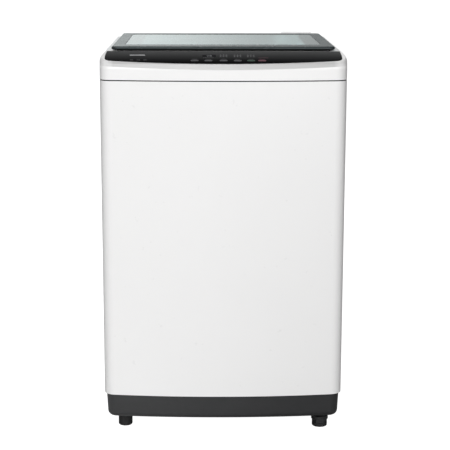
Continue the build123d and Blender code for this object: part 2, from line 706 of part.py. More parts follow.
with BuildPart() as corner_brackets:
    with BuildSketch(Plane.XY.offset(BRACKET_Z)) as bracket_plan:
        bowed_outline(bracket_plan, SHEET + 1, CORNER_R - SHEET)
        Rectangle(2 * 204, WIDTH * 2, mode=Mode.SUBTRACT)
        with Locations((0, TUB_Y)):
            Rectangle(WIDTH * 2, 2 * 200, mode=Mode.SUBTRACT)
        with Locations(rod_places):
            Circle(ROD_R + 1, mode=Mode.SUBTRACT)
    extrude(amount=3)
corner_brackets.part.label = "corner_brackets"
export_step(corner_brackets.part, "parts/corner_brackets.step")

with BuildPart() as suspension_rods:
    with BuildSketch(Plane.XY.offset(CUP_Z - 8)):
        with Locations(rod_places):
            Circle(8)
    extrude(amount=8)
    with BuildSketch(Plane.XY.offset(CUP_Z)):
        with Locations(rod_places):
            Circle(ROD_R)
    extrude(amount=BRACKET_Z + 3 - CUP_Z)
    with BuildSketch(Plane.XY.offset(BRACKET_Z + 3)):
        with Locations(rod_places):
            Circle(11)
    extrude(amount=11)
    fillet(suspension_rods.edges().group_by(Axis.Z)[-1], 5)
suspension_rods.part.label = "suspension_rods"
export_step(suspension_rods.part, "parts/suspension_rods.step")

with BuildPart() as suspension_cups:
    with BuildSketch(Plane.XY.offset(CUP_Z)):
        with Locations(rod_places):
            Circle(CUP_R)
            Circle(ROD_R, mode=Mode.SUBTRACT)
    extrude(amount=4)
    with BuildSketch(Plane.XY.offset(CUP_Z + 4)):
        with Locations(rod_places):
            Circle(CUP_R)
            Circle(19.5, mode=Mode.SUBTRACT)
    extrude(amount=16)
suspension_cups.part.label = "suspension_cups"
export_step(suspension_cups.part, "parts/suspension_cups.step")

with BuildPart() as suspension_springs:
    with BuildSketch(Plane.XY.offset(CUP_Z + 4)):
        with Locations(rod_places):
            Circle(SPRING_R)
            Circle(SPRING_IN_R, mode=Mode.SUBTRACT)
    extrude(amount=LUG_Z - CUP_Z - 4)
suspension_springs.part.label = "suspension_springs"
export_step(suspension_springs.part, "parts/suspension_springs.step")

# ================= tub =================

VALVE_X = -150.0
VALVE_Y = -100.0
VALVE_Z = 213.0
with BuildPart() as outer_tub:
    with BuildSketch(tub_plane(TUB_FLOOR_Z)):
        Circle(TUB_R)
    extrude(amount=TUB_TOP_Z - TUB_FLOOR_Z)
    # ribs round the wall, and a flange at the rim
    for rib_z in (300, 420, 560, 690):
        with BuildSketch(tub_plane(rib_z)):
            Circle(TUB_R + 5)
        extrude(amount=3)
    with BuildSketch(tub_plane(TUB_TOP_Z - 4)):
        Circle(TUB_R + 6)
    extrude(amount=4)
    # arms that hang on the suspension
    with Locations(tub_plane(LUG_Z)):
        with PolarLocations(ROD_RADIUS / 2 + 100, 4, start_angle=45):
            Box(ROD_RADIUS / 2 - 84, 34, 12, align=(Align.CENTER, Align.CENTER, Align.MIN))
    with BuildSketch(tub_plane(TUB_FLOOR_Z + 4)):
        Circle(TUB_R - TUB_WALL)
    extrude(amount=TUB_TOP_Z - TUB_FLOOR_Z, mode=Mode.SUBTRACT)
    with BuildSketch(tub_plane(TUB_FLOOR_Z - 1)):
        Circle(32)
        with Locations((VALVE_X, VALVE_Y - TUB_Y)):
            Circle(14)
    extrude(amount=6, mode=Mode.SUBTRACT)
    with BuildSketch(Plane.XY.offset(LUG_Z - 1)):
        with Locations(rod_places):
            Circle(ROD_R + 1.5)
    extrude(amount=20, mode=Mode.SUBTRACT)
    # bosses that carry the drive frame
    with BuildSketch(Plane.XY.offset(FRAME_Z + 3)):
        with Locations((-180, 72), (-180, -88), (60, 84), (60, -100), (205, 72), (205, -88)):
            Circle(11)
    extrude(amount=TUB_FLOOR_Z - FRAME_Z - 3)
outer_tub.part.label = "outer_tub"
export_step(outer_tub.part, "parts/outer_tub.step")

TUB_MOUTH_R = 190.0
with BuildPart() as tub_cover:
    with BuildSketch(tub_plane(TUB_TOP_Z)):
        Circle(TUB_R + 9)
        Circle(TUB_MOUTH_R, mode=Mode.SUBTRACT)
    extrude(amount=3)
    with BuildSketch(tub_plane(TUB_TOP_Z - 17)):
        Circle(TUB_R + 9)
        Circle(TUB_R + 6.5, mode=Mode.SUBTRACT)
    extrude(amount=17)
    with BuildSketch(tub_plane(TUB_TOP_Z)):
        Circle(TUB_MOUTH_R + 3)
        Circle(TUB_MOUTH_R, mode=Mode.SUBTRACT)
    extrude(amount=18)
tub_cover.part.label = "tub_cover"
export_step(tub_cover.part, "parts/tub_cover.step")

LEVER_X, LEVER_Y = -62.0, -62.0
LEVER_PIN_R = 4.0
with BuildPart() as drive_frame:
    with BuildSketch(Plane.XY.offset(FRAME_Z)):
        with Locations((8, TUB_Y)):
            RectangleRounded(430, 220, 20)
        with Locations((0, TUB_Y)):
            Circle(30, mode=Mode.SUBTRACT)
        with Locations((VALVE_X, VALVE_Y)):
            Circle(20, mode=Mode.SUBTRACT)
        with Locations((-120, 40), (80, -8)):
            RectangleRounded(60, 70, 12, mode=Mode.SUBTRACT)
    extrude(amount=3)
    # pivot pin of the clutch lever
    with BuildSketch(Plane.XY.offset(FRAME_Z)):
        with Locations((LEVER_X, LEVER_Y)):
            Circle(LEVER_PIN_R)
    extrude(amount=-28)
drive_frame.part.label = "drive_frame"
export_step(drive_frame.part, "parts/drive_frame.step")

CASE_BOTTOM_Z = 128.0
NECK_TOP_Z = 258.0
CASE_R = 58.0
CASE_WALL = 12.0
CASE_FLANGE_R = 72.0
NECK_R = 29.0
TOP_BEARING_R = 26.0
LOW_BEARING_R = 14.0
with BuildPart() as gearbox_case:
    with BuildSketch(tub_plane(CASE_BOTTOM_Z)):
        Circle(CASE_R)
    extrude(amount=FRAME_Z - CASE_BOTTOM_Z)
    with BuildSketch(tub_plane(FRAME_Z - 8)):
        Circle(CASE_FLANGE_R)
    extrude(amount=8)
    with BuildSketch(tub_plane(FRAME_Z)):
        Circle(NECK_R)
    extrude(amount=NECK_TOP_Z - FRAME_Z)
    with BuildSketch(tub_plane(NECK_TOP_Z)):
        Circle(TOP_BEARING_R)
    extrude(amount=-16, mode=Mode.SUBTRACT)
    with BuildSketch(tub_plane(NECK_TOP_Z)):
        Circle(SPIN_R + 1)
    extrude(amount=-40, mode=Mode.SUBTRACT)
    with BuildSketch(tub_plane(150)):
        Circle(CASE_R - CASE_WALL)
    extrude(amount=76, mode=Mode.SUBTRACT)
    with BuildSketch(tub_plane(CASE_BOTTOM_Z)):
        Circle(LOW_BEARING_R)
    extrude(amount=10, mode=Mode.SUBTRACT)
    with BuildSketch(tub_plane(CASE_BOTTOM_Z)):
        Circle(INPUT_R + 1)
    extrude(amount=30, mode=Mode.SUBTRACT)
gearbox_case.part.label = "gearbox_case"
export_step(gearbox_case.part, "parts/gearbox_case.step")

PRESS_GAP = 0.02
with BuildPart() as spin_bearings:
    with BuildSketch(tub_plane(NECK_TOP_Z - 15)):
        Circle(TOP_BEARING_R - PRESS_GAP)
        Circle(SPIN_R + RUN_GAP, mode=Mode.SUBTRACT)
    extrude(amount=14)
    with BuildSketch(tub_plane(CASE_BOTTOM_Z + 1)):
        Circle(LOW_BEARING_R - PRESS_GAP)
        Circle(INPUT_R + RUN_GAP, mode=Mode.SUBTRACT)
    extrude(amount=9)
spin_bearings.part.label = "spin_bearings"
export_step(spin_bearings.part, "parts/spin_bearings.step")

with BuildPart() as tub_seal:
    with BuildSketch(tub_plane(NECK_TOP_Z)):
        Circle(31.9)
        Circle(SPIN_R + 0.1, mode=Mode.SUBTRACT)
    extrude(amount=10)
tub_seal.part.label = "tub_seal"
export_step(tub_seal.part, "parts/tub_seal.step")

MOTOR_BOTTOM_Z = 126.0
MOTOR_R = 58.0
MOTOR_WALL = 12.0
with BuildPart() as motor_case:
    motor_plane = tub_plane(MOTOR_BOTTOM_Z).move(Location((MOTOR_X, 0, 0)))
    with BuildSketch(motor_plane):
        Circle(MOTOR_R)
    extrude(amount=FRAME_Z - MOTOR_BOTTOM_Z)
    with BuildSketch(motor_plane.offset(8)):
        Circle(MOTOR_R - MOTOR_WALL)
    extrude(amount=96, mode=Mode.SUBTRACT)
    with BuildSketch(motor_plane):
        Circle(INPUT_R + RUN_GAP)
    extrude(amount=20, mode=Mode.SUBTRACT)
motor_case.part.label = "motor_case"
export_step(motor_case.part, "parts/motor_case.step")

with BuildPart() as motor_rotor:
    with BuildSketch(motor_plane.offset(20)):
        Circle(34)
    extrude(amount=70)
    with BuildSketch(motor_plane.offset(-34)):
        Circle(INPUT_R)
    extrude(amount=130)
motor_rotor.part.label = "motor_rotor"
export_step(motor_rotor.part, "parts/motor_rotor.step")


PULLEY_T = 18.0
RIM = 6.0                    # how far a pulley's rims stand above its groove


def vee_pulley(groove_r):
    """Half section, in XZ, of a pulley with a belt groove of radius groove_r."""
    rim_r = groove_r + RIM
    with BuildLine() as section:
        Polyline(
            (INPUT_R, 0),
            (rim_r, 0),
            (rim_r, 3),
            (groove_r, 5),
            (groove_r, PULLEY_T - 5),
            (rim_r, PULLEY_T - 3),
            (rim_r, PULLEY_T),
            (INPUT_R, PULLEY_T),
            close=True,
        )
    make_face(section.edges())


with BuildPart() as drive_pulley:
    with BuildSketch(upright_plane(0, PULLEY_Z)):
        vee_pulley(PULLEY_GROOVE_R)
    revolve(axis=tub_axis)
    with BuildSketch(tub_plane(PULLEY_Z)):
        with PolarLocations(40, 5):
            Circle(13)
    extrude(amount=PULLEY_T, mode=Mode.SUBTRACT)
drive_pulley.part.label = "drive_pulley"
export_step(drive_pulley.part, "parts/drive_pulley.step")

with BuildPart() as input_shaft:
    with BuildSketch(tub_plane(96)):
        Circle(INPUT_R)
    extrude(amount=60)
input_shaft.part.label = "input_shaft"
export_step(input_shaft.part, "parts/input_shaft.step")

with BuildPart() as motor_pulley:
    with BuildSketch(upright_plane(MOTOR_X, PULLEY_Z)):
        vee_pulley(MOTOR_GROOVE_R)
    revolve(axis=Axis((MOTOR_X, TUB_Y, 0), (0, 0, 1)))
motor_pulley.part.label = "motor_pulley"
export_step(motor_pulley.part, "parts/motor_pulley.step")

BELT_GAP = 0.3
BELT_H = 6.0
with BuildPart() as drive_belt:
    with BuildSketch(tub_plane(PULLEY_Z + (PULLEY_T - BELT_H) / 2)):
        with BuildSketch(mode=Mode.PRIVATE) as belt_outside:
            Circle(PULLEY_GROOVE_R + BELT_GAP + BELT_T)
            with Locations((MOTOR_X, 0)):
                Circle(MOTOR_GROOVE_R + BELT_GAP + BELT_T)
            make_hull()
        with BuildSketch(mode=Mode.PRIVATE) as belt_inside:
            Circle(PULLEY_GROOVE_R + BELT_GAP)
            with Locations((MOTOR_X, 0)):
                Circle(MOTOR_GROOVE_R + BELT_GAP)
            make_hull()
        add(belt_outside.sketch)
        add(belt_inside.sketch, mode=Mode.SUBTRACT)
    extrude(amount=BELT_H)
drive_belt.part.label = "drive_belt"
export_step(drive_belt.part, "parts/drive_belt.step")

VALVE_R = 24.0
VALVE_WALL = 4.0
NECK_OUT_R = 17.0
PORT_R = 14.0
PORT_WALL = 3.0
with BuildPart() as drain_valve:
    with BuildSketch(Plane.YZ.offset(VALVE_X - 26)):
        with Locations((VALVE_Y, VALVE_Z)):
            Circle(VALVE_R)
    extrude(amount=52)
    with BuildSketch(Plane.XY.offset(VALVE_Z)):
        with Locations((VALVE_X, VALVE_Y)):
            Circle(NECK_OUT_R)
    extrude(amount=TUB_FLOOR_Z - VALVE_Z)
    with BuildSketch(Plane.YZ.offset(VALVE_X - 46)):
        with Locations((VALVE_Y, VALVE_Z)):
            Circle(PORT_R)
    extrude(amount=24)
    with BuildSketch(Plane.YZ.offset(VALVE_X - 20)):
        with Locations((VALVE_Y, VALVE_Z)):
            Circle(VALVE_R - VALVE_WALL)
    extrude(amount=42, mode=Mode.SUBTRACT)
    with BuildSketch(Plane.YZ.offset(VALVE_X - 47)):
        with Locations((VALVE_Y, VALVE_Z)):
            Circle(PORT_R - PORT_WALL)
    extrude(amount=30, mode=Mode.SUBTRACT)
    with BuildSketch(Plane.YZ.offset(VALVE_X)):
        with Locations((VALVE_Y, VALVE_Z)):
            Circle(4.3)
    extrude(amount=30, mode=Mode.SUBTRACT)
    with BuildSketch(Plane.XY.offset(VALVE_Z)):
        with Locations((VALVE_X, VALVE_Y)):
            Circle(NECK_OUT_R - VALVE_WALL)
    extrude(amount=TUB_FLOOR_Z - VALVE_Z, mode=Mode.SUBTRACT)
drain_valve.part.label = "drain_valve"
export_step(drain_valve.part, "parts/drain_valve.step")

PULL_TRAVEL = 12.0
STEM_END_X = -92.0
with BuildPart() as valve_plunger:
    with BuildSketch(Plane.YZ.offset(VALVE_X - 10)):
        with Locations((VALVE_Y, VALVE_Z)):
            Circle(12)
    extrude(amount=10)
    with BuildSketch(Plane.YZ.offset(VALVE_X)):
        with Locations((VALVE_Y, VALVE_Z)):
            Circle(4)
    extrude(amount=STEM_END_X - VALVE_X)
valve_plunger.part.label = "valve_plunger"
export_step(valve_plunger.part, "parts/valve_plunger.step")

with BuildPart() as pull_rod:
    with BuildSketch(Plane.YZ.offset(STEM_END_X + 0.5)):
        with Locations((VALVE_Y, VALVE_Z)):
            Rectangle(10, 10)
    extrude(amount=14)
    with BuildSketch(Plane.YZ.offset(STEM_END_X + 14.5)):
        with Locations((VALVE_Y, VALVE_Z)):
            Circle(3)
    extrude(amount=57)
pull_rod.part.label = "pull_rod"
export_step(pull_rod.part, "parts/pull_rod.step")

with BuildPart() as drain_actuator:
    with Locations((-2, VALVE_Y, FRAME_Z)):
        Box(76, 34, 36, align=(Align.CENTER, Align.CENTER, Align.MAX))
    fillet(drain_actuator.edges().filter_by(Axis.X), 4)
    with BuildSketch(Plane.YZ.offset(-41)):
        with Locations((VALVE_Y, VALVE_Z)):
            Circle(3.3)
    extrude(amount=52, mode=Mode.SUBTRACT)
drain_actuator.part.label = "drain_actuator"
export_step(drain_actuator.part, "parts/drain_actuator.step")

with BuildPart() as clutch_lever:
    with BuildSketch(Plane.XY.offset(214)):
        with Locations((LEVER_X, LEVER_Y)):
            Circle(9)
        with Locations((LEVER_X, LEVER_Y - 15)):
            Rectangle(9, 30)
        with Locations((LEVER_X, LEVER_Y)):
            Circle(LEVER_PIN_R + RUN_GAP, mode=Mode.SUBTRACT)
    extrude(amount=6)
clutch_lever.part.label = "clutch_lever"
export_step(clutch_lever.part, "parts/clutch_lever.step")

HOSE_R = 14.0
hose_points = [
    (VALVE_X - 46, VALVE_Y, VALVE_Z),
    (-236, VALVE_Y, VALVE_Z),
    (-238, -20, 205),
    (-236, 110, 172),
    (DRAIN_X, 195, DRAIN_Z),
    (DRAIN_X, REAR_Y - 22, DRAIN_Z),
]
with BuildPart() as drain_hose:
    with BuildLine() as hose_route:
        FilletPolyline(*hose_points, radius=22)
    with BuildSketch(Plane(origin=hose_points[0], z_dir=(-1, 0, 0))):
        Circle(HOSE_R)
        Circle(HOSE_R - 2.5, mode=Mode.SUBTRACT)
    sweep()
drain_hose.part.label = "drain_hose"
export_step(drain_hose.part, "parts/drain_hose.step")

# ================= spin basket =================

HOLE_ROWS = 7
HOLE_COLUMNS = 22
HOLE_LOW_Z = 350.0
HOLE_PITCH = 52.0
HOLE_R = 2.5
with BuildPart() as basket:
    with BuildSketch(tub_plane(BASKET_BOTTOM_Z)):
        Circle(BASKET_R)
    extrude(amount=BASKET_TOP_Z - BASKET_BOTTOM_Z)
    with BuildSketch(tub_plane(BASKET_BOTTOM_Z + SHEET)):
        Circle(BASKET_R - SHEET)
    extrude(amount=BASKET_TOP_Z - BASKET_BOTTOM_Z, mode=Mode.SUBTRACT)
    with BuildSketch(tub_plane(BASKET_BOTTOM_Z)):
        Circle(TUB_MOUTH_R)
    extrude(amount=SHEET, mode=Mode.SUBTRACT)
    # perforations: each drill goes through both walls
    for row in range(HOLE_ROWS):
        for column in range(HOLE_COLUMNS // 2):
            turn = 360 * (column + 0.5 * (row % 2)) / HOLE_COLUMNS
            drill_plane = Plane(
                origin=(0, TUB_Y, HOLE_LOW_Z + HOLE_PITCH * row),
                z_dir=(math.cos(math.radians(turn)), math.sin(math.radians(turn)), 0),
            )
            with BuildSketch(drill_plane):
                Circle(HOLE_R)
    extrude(amount=BASKET_R + 5, both=True, mode=Mode.SUBTRACT)
basket.part.label = "basket"
export_step(basket.part, "parts/basket.step")

with BuildPart() as basket_base:
    with BuildSketch(tub_plane(BASKET_BOTTOM_Z + SHEET)):
        Circle(BASKET_R - SHEET - 0.2)
    extrude(amount=5)
    with BuildSketch(tub_plane(BASKET_BOTTOM_Z)):
        Circle(TUB_MOUTH_R - 0.5)
    extrude(amount=SHEET)
    with BuildSketch(tub_plane(BASKET_BOTTOM_Z - 1)):
        Circle(20)
        with PolarLocations(198, 24):
            Circle(4)
        with PolarLocations(120, 12):
            Circle(5)
    extrude(amount=12, mode=Mode.SUBTRACT)
basket_base.part.label = "basket_base"
export_step(basket_base.part, "parts/basket_base.step")

with BuildPart() as basket_hub:
    with BuildSketch(tub_plane(BASKET_BOTTOM_Z - 24)):
        Circle(34)
    extrude(amount=24)
    with BuildSketch(tub_plane(BASKET_BOTTOM_Z - 12)):
        with PolarLocations(110, 3, start_angle=90):
            Rectangle(204, 36)
    extrude(amount=12)
    with BuildSketch(tub_plane(BASKET_BOTTOM_Z - 24)):
        Circle(SPIN_R)
    extrude(amount=24, mode=Mode.SUBTRACT)
basket_hub.part.label = "basket_hub"
export_step(basket_hub.part, "parts/basket_hub.step")

RING_IN_R = 186.0
with BuildPart() as balance_ring:
    with BuildSketch(tub_plane(BASKET_TOP_Z)):
        Circle(BASKET_R + 1.5)
        Circle(RING_IN_R, mode=Mode.SUBTRACT)
    extrude(amount=RING_TOP_Z - BASKET_TOP_Z)
    fillet(balance_ring.edges().filter_by(GeomType.CIRCLE), 9)
    with BuildSketch(tub_plane(BASKET_TOP_Z + 3)):
        Circle(BASKET_R - 2)
        Circle(RING_IN_R + 3.5, mode=Mode.SUBTRACT)
    extrude(amount=RING_TOP_Z - BASKET_TOP_Z - 12, mode=Mode.SUBTRACT)
balance_ring.part.label = "balance_ring"
export_step(balance_ring.part, "parts/balance_ring.step")

with BuildPart() as lint_filters:
    with Locations((-214, TUB_Y, 420), (214, TUB_Y, 420)):
        Box(28, 92, 170, align=(Align.CENTER, Align.CENTER, Align.MIN))
    with Locations((-206, TUB_Y, 430), (206, TUB_Y, 430)):
        Box(24, 80, 148, align=(Align.CENTER, Align.CENTER, Align.MIN), mode=Mode.SUBTRACT)
    with BuildSketch(tub_plane(400)):
        Circle(BASKET_R - SHEET - 0.4)
    extrude(amount=240, mode=Mode.INTERSECT)
lint_filters.part.label = "lint_filters"
export_step(lint_filters.part, "parts/lint_filters.step")

SPIN_BOTTOM_Z = 205.0
with BuildPart() as spin_shaft:
    with BuildSketch(tub_plane(SPIN_BOTTOM_Z)):
        Circle(SPIN_R)
        Circle(WASH_R + RUN_GAP, mode=Mode.SUBTRACT)
    extrude(amount=BASKET_BOTTOM_Z - SPIN_BOTTOM_Z)
spin_shaft.part.label = "spin_shaft"
export_step(spin_shaft.part, "parts/spin_shaft.step")

# ================= pulsator =================

PULSATOR_R = 168.0
PULSATOR_Z = 306.0
WASH_TOP_Z = 322.0
with BuildPart() as pulsator:
    with BuildSketch(upright_plane(0, PULSATOR_Z)):
        with BuildLine():
            Line((0, 0), (PULSATOR_R, 0))
            Line((PULSATOR_R, 0), (PULSATOR_R, 9))
            ThreePointArc((PULSATOR_R, 9), (100, 6), (42, 16))
            ThreePointArc((42, 16), (26, 29), (0, 33))
            Line((0, 33), (0, 0))
        make_face()
    revolve(axis=tub_axis)
    with BuildSketch(tub_plane(PULSATOR_Z + 5)):
        with PolarLocations(94, 5):
            SlotOverall(124, 20)
    extrude(amount=24, taper=14)
    with BuildSketch(tub_plane(PULSATOR_Z)):
        Circle(WASH_R)
    extrude(amount=WASH_TOP_Z - PULSATOR_Z, mode=Mode.SUBTRACT)
    with BuildSketch(tub_plane(PULSATOR_Z)):
        Circle(3.1)
    extrude(amount=60, mode=Mode.SUBTRACT)
    with BuildSketch(tub_plane(PULSATOR_Z + 30)):
        Circle(10)
    extrude(amount=20, mode=Mode.SUBTRACT)
pulsator.part.label = "pulsator"
export_step(pulsator.part, "parts/pulsator.step")

with BuildPart() as pulsator_screw:
    with BuildSketch(tub_plane(PULSATOR_Z + 30)):
        Circle(8.5)
    extrude(amount=5)
    fillet(pulsator_screw.edges().group_by(Axis.Z)[-1], 2)
    with BuildSketch(tub_plane(WASH_TOP_Z)):
        Circle(3)
    extrude(amount=PULSATOR_Z + 30 - WASH_TOP_Z)
pulsator_screw.part.label = "pulsator_screw"
export_step(pulsator_screw.part, "parts/pulsator_screw.step")

with BuildPart() as wash_shaft:
    with BuildSketch(tub_plane(170)):
        Circle(WASH_R)
    extrude(amount=WASH_TOP_Z - 170)
wash_shaft.part.label = "wash_shaft"
export_step(wash_shaft.part, "parts/wash_shaft.step")
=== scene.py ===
import json
import math

import bmesh
import bpy
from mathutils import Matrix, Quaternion, Vector


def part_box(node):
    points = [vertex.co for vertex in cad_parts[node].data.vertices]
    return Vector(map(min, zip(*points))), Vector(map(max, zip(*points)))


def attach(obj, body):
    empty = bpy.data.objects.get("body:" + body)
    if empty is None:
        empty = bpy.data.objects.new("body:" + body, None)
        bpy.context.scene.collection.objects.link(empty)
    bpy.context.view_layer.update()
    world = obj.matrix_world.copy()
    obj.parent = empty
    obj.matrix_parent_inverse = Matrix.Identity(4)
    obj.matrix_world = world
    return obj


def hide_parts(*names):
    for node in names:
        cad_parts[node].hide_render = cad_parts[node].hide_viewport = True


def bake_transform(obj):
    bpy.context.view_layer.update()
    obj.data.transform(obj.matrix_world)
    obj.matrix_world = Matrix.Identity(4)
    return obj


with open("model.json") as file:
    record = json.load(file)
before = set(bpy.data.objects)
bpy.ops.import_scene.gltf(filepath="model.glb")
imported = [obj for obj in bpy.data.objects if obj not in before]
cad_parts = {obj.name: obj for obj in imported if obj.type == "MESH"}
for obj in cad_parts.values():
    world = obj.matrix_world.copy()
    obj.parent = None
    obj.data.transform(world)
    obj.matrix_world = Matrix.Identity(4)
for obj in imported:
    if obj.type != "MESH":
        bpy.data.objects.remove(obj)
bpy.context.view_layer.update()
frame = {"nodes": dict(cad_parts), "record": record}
X_AXIS = Vector((1, 0, 0))
Y_AXIS = Vector((0, 1, 0))
Z_AXIS = Vector((0, 0, 1))
MM = 0.001

# ---------------------------------------------------------------- camera

CAMERA_AT = Vector((-0.039, -3.257, 1.134))
CAMERA_PITCH = 11.93          # degrees below the horizon
CAMERA_YAW = 0.82             # degrees towards +X
CAMERA_ROLL = 0.14
CAMERA_LENS = 108.4           # millimetres, on a sensor CAMERA_SENSOR wide
CAMERA_SENSOR = 36.0


def make_camera():
    data = bpy.data.cameras.new("camera")
    data.lens = CAMERA_LENS
    data.sensor_width = CAMERA_SENSOR
    camera = bpy.data.objects.new("camera", data)
    bpy.context.scene.collection.objects.link(camera)
    camera.location = CAMERA_AT
    camera.rotation_mode = "QUATERNION"
    turn = Quaternion(Z_AXIS, math.radians(-CAMERA_YAW))
    tilt = Quaternion(X_AXIS, math.radians(90 - CAMERA_PITCH))
    roll = Quaternion(Z_AXIS, math.radians(CAMERA_ROLL))
    camera.rotation_quaternion = turn @ tilt @ roll
    bpy.context.scene.camera = camera


# ---------------------------------------------------------------- node trees


class Tree:
    """A node tree, with the short calls that the recipes below are written in."""

    def __init__(self, owner):
        owner.use_nodes = True
        self.nodes = owner.node_tree.nodes
        self.links = owner.node_tree.links

    def feed(self, socket, value):
        if isinstance(value, (int, float)):
            socket.default_value = value
        elif isinstance(value, tuple):
            socket.default_value = (*value, 1) if socket.type == "RGBA" else value
        else:
            self.links.new(value, socket)

    def maths(self, operation, a, b=0.0):
        node = self.nodes.new("ShaderNodeMath")
        node.operation = operation
        self.feed(node.inputs[0], a)
        self.feed(node.inputs[1], b)
        return node.outputs[0]

    def ramp(self, value, low, high, start=0.3, end=0.7, smooth=False):
        node = self.nodes.new("ShaderNodeMapRange")
        if smooth:
            node.interpolation_type = "SMOOTHSTEP"
        node.inputs["From Min"].default_value = start
        node.inputs["From Max"].default_value = end
        self.feed(node.inputs["To Min"], low)
        self.feed(node.inputs["To Max"], high)
        self.links.new(value, node.inputs["Value"])
        return node.outputs["Result"]

    def split(self, vector):
        node = self.nodes.new("ShaderNodeSeparateXYZ")
        self.links.new(vector, node.inputs[0])
        return node.outputs

    def mix(self, factor, a, b):
        node = self.nodes.new("ShaderNodeMix")
        node.data_type = "RGBA"
        self.feed(node.inputs["Factor"], factor)
        sockets = [s for s in node.inputs if s.type == "RGBA"]
        self.feed(sockets[0], a)
        self.feed(sockets[1], b)
        return [s for s in node.outputs if s.type == "RGBA"][0]


# ---------------------------------------------------------------- room and light

SIDE_LEFT = 0.12              # how bright the room is all round, at its left and at its right
SIDE_RIGHT = 0.02
SIDE_TURN = 0.6               # the change between them runs over this much of a direction's x, each way
FRONT_LEVEL = 1.36            # in front
FRONT_FULL = -0.85            # a direction's y where the front is at its full level, and where it ends
FRONT_END = -0.3
BACK_LEFT = 1.1               # low behind, at the left and at the right
BACK_RIGHT = 0.5
BACK_TURN = 0.1
BACK_HIGH = 0.03              # high behind
BACK_RISE = 0.22              # a direction's z where it starts to darken, and where that is complete
BACK_DARK = 0.5
BACK_START = 0.7              # a direction's y where the back starts, and where it is at its full level
BACK_FULL = 0.9
BACK_TINT = (0.94, 1.0, 1.0)
FLOOR_HALF = 30.0
FLOOR_LEFT = 0.7              # how much light the floor throws back, at its left and at its right
FLOOR_RIGHT = 0.24
FLOOR_TURN = 0.3


def make_world():
    """White to the camera. What lights the object is bright in front and low behind, and dim elsewhere."""
    world = bpy.data.worlds.new("room")
    bpy.context.scene.world = world
    tree = Tree(world)
    tree.nodes.clear()
    out = tree.nodes.new("ShaderNodeOutputWorld")
    shader_mix = tree.nodes.new("ShaderNodeMixShader")
    path = tree.nodes.new("ShaderNodeLightPath")
    seen = tree.nodes.new("ShaderNodeBackground")
    seen.inputs["Color"].default_value = (1, 1, 1, 1)
    lit = tree.nodes.new("ShaderNodeBackground")
    x, y, z = tree.split(tree.nodes.new("ShaderNodeTexCoord").outputs["Generated"])
    side = tree.ramp(x, SIDE_LEFT, SIDE_RIGHT, -SIDE_TURN, SIDE_TURN, smooth=True)
    is_front = tree.ramp(y, 1.0, 0.0, FRONT_FULL, FRONT_END, smooth=True)
    front = tree.maths("MULTIPLY", is_front, tree.maths("SUBTRACT", FRONT_LEVEL, side))
    across = tree.ramp(x, BACK_LEFT, BACK_RIGHT, -BACK_TURN, BACK_TURN, smooth=True)
    level = tree.ramp(z, across, BACK_HIGH, BACK_RISE, BACK_DARK, smooth=True)
    is_back = tree.ramp(y, 0.0, 1.0, BACK_START, BACK_FULL, smooth=True)
    back = tree.maths("MULTIPLY", is_back, tree.maths("SUBTRACT", level, side))
    total = tree.maths("ADD", tree.maths("ADD", front, back), side)
    tree.links.new(tree.mix(is_back, (1, 1, 1), BACK_TINT), lit.inputs["Color"])
    tree.links.new(total, lit.inputs["Strength"])
    tree.links.new(path.outputs["Is Camera Ray"], shader_mix.inputs["Fac"])
    tree.links.new(lit.outputs[0], shader_mix.inputs[1])
    tree.links.new(seen.outputs[0], shader_mix.inputs[2])
    tree.links.new(shader_mix.outputs[0], out.inputs["Surface"])


def make_floor():
    """A white floor, which throws more light back at its left than at its right."""
    corners = [(x * FLOOR_HALF, y * FLOOR_HALF, 0) for x, y in ((-1, -1), (1, -1), (1, 1), (-1, 1))]
    mesh = bpy.data.meshes.new("floor")
    mesh.from_pydata(corners, [], [(0, 1, 2, 3)])
    floor = bpy.data.objects.new("floor", mesh)
    bpy.context.scene.collection.objects.link(floor)
    surface = bpy.data.materials.new("floor_white")
    tree = Tree(surface)
    shader = tree.nodes["Principled BSDF"]
    shader.inputs["Roughness"].default_value = 0.9
    shader.inputs["Emission Color"].default_value = (1, 1, 1, 1)
    path = tree.nodes.new("ShaderNodeLightPath")
    tree.links.new(path.outputs["Is Camera Ray"], shader.inputs["Emission Strength"])
    across = tree.split(tree.nodes.new("ShaderNodeTexCoord").outputs["Object"])[0]
    thrown = tree.ramp(across, FLOOR_LEFT, FLOOR_RIGHT, -FLOOR_TURN, FLOOR_TURN, smooth=True)
    tree.links.new(thrown, shader.inputs["Base Color"])
    mesh.materials.append(surface)


# name, place, point it faces, side of the square lamp, watts, whether gloss mirrors it
LIGHTS = [("key", (-0.6, -3.2, 2.5), (0, 0, 0.9), 1.6, 40, True),
          ("fill", (0.8, -3.4, 1.5), (0, 0, 0.5), 1.6, 20, True),
          ("top", (0.2, 0.5, 3.0), (0, 0, 0.8), 2.2, 16, False),
          ("rear", (1.2, 3.0, 2.0), (0, 0, 0.5), 2.2, 30, False)]


def area_light(name, at, towards, size, watts, mirrored):
    data = bpy.data.lights.new(name, "AREA")
    data.size = size
    data.energy = watts
    lamp = bpy.data.objects.new(name, data)
    bpy.context.scene.collection.objects.link(lamp)
    lamp.location = at
    lamp.rotation_mode = "QUATERNION"
    lamp.rotation_quaternion = (Vector(towards) - Vector(at)).to_track_quat("-Z", "Y")
    lamp.visible_glossy = mirrored


make_camera()
make_world()
make_floor()
for light in LIGHTS:
    area_light(*light)
bpy.context.scene.view_settings.view_transform = "Standard"

# ---------------------------------------------------------------- materials

EDGE = 0.5 * MM               # radius that an edge is softened to
WEAR_REACH = 2.0 * MM         # how far from an edge its wear shows


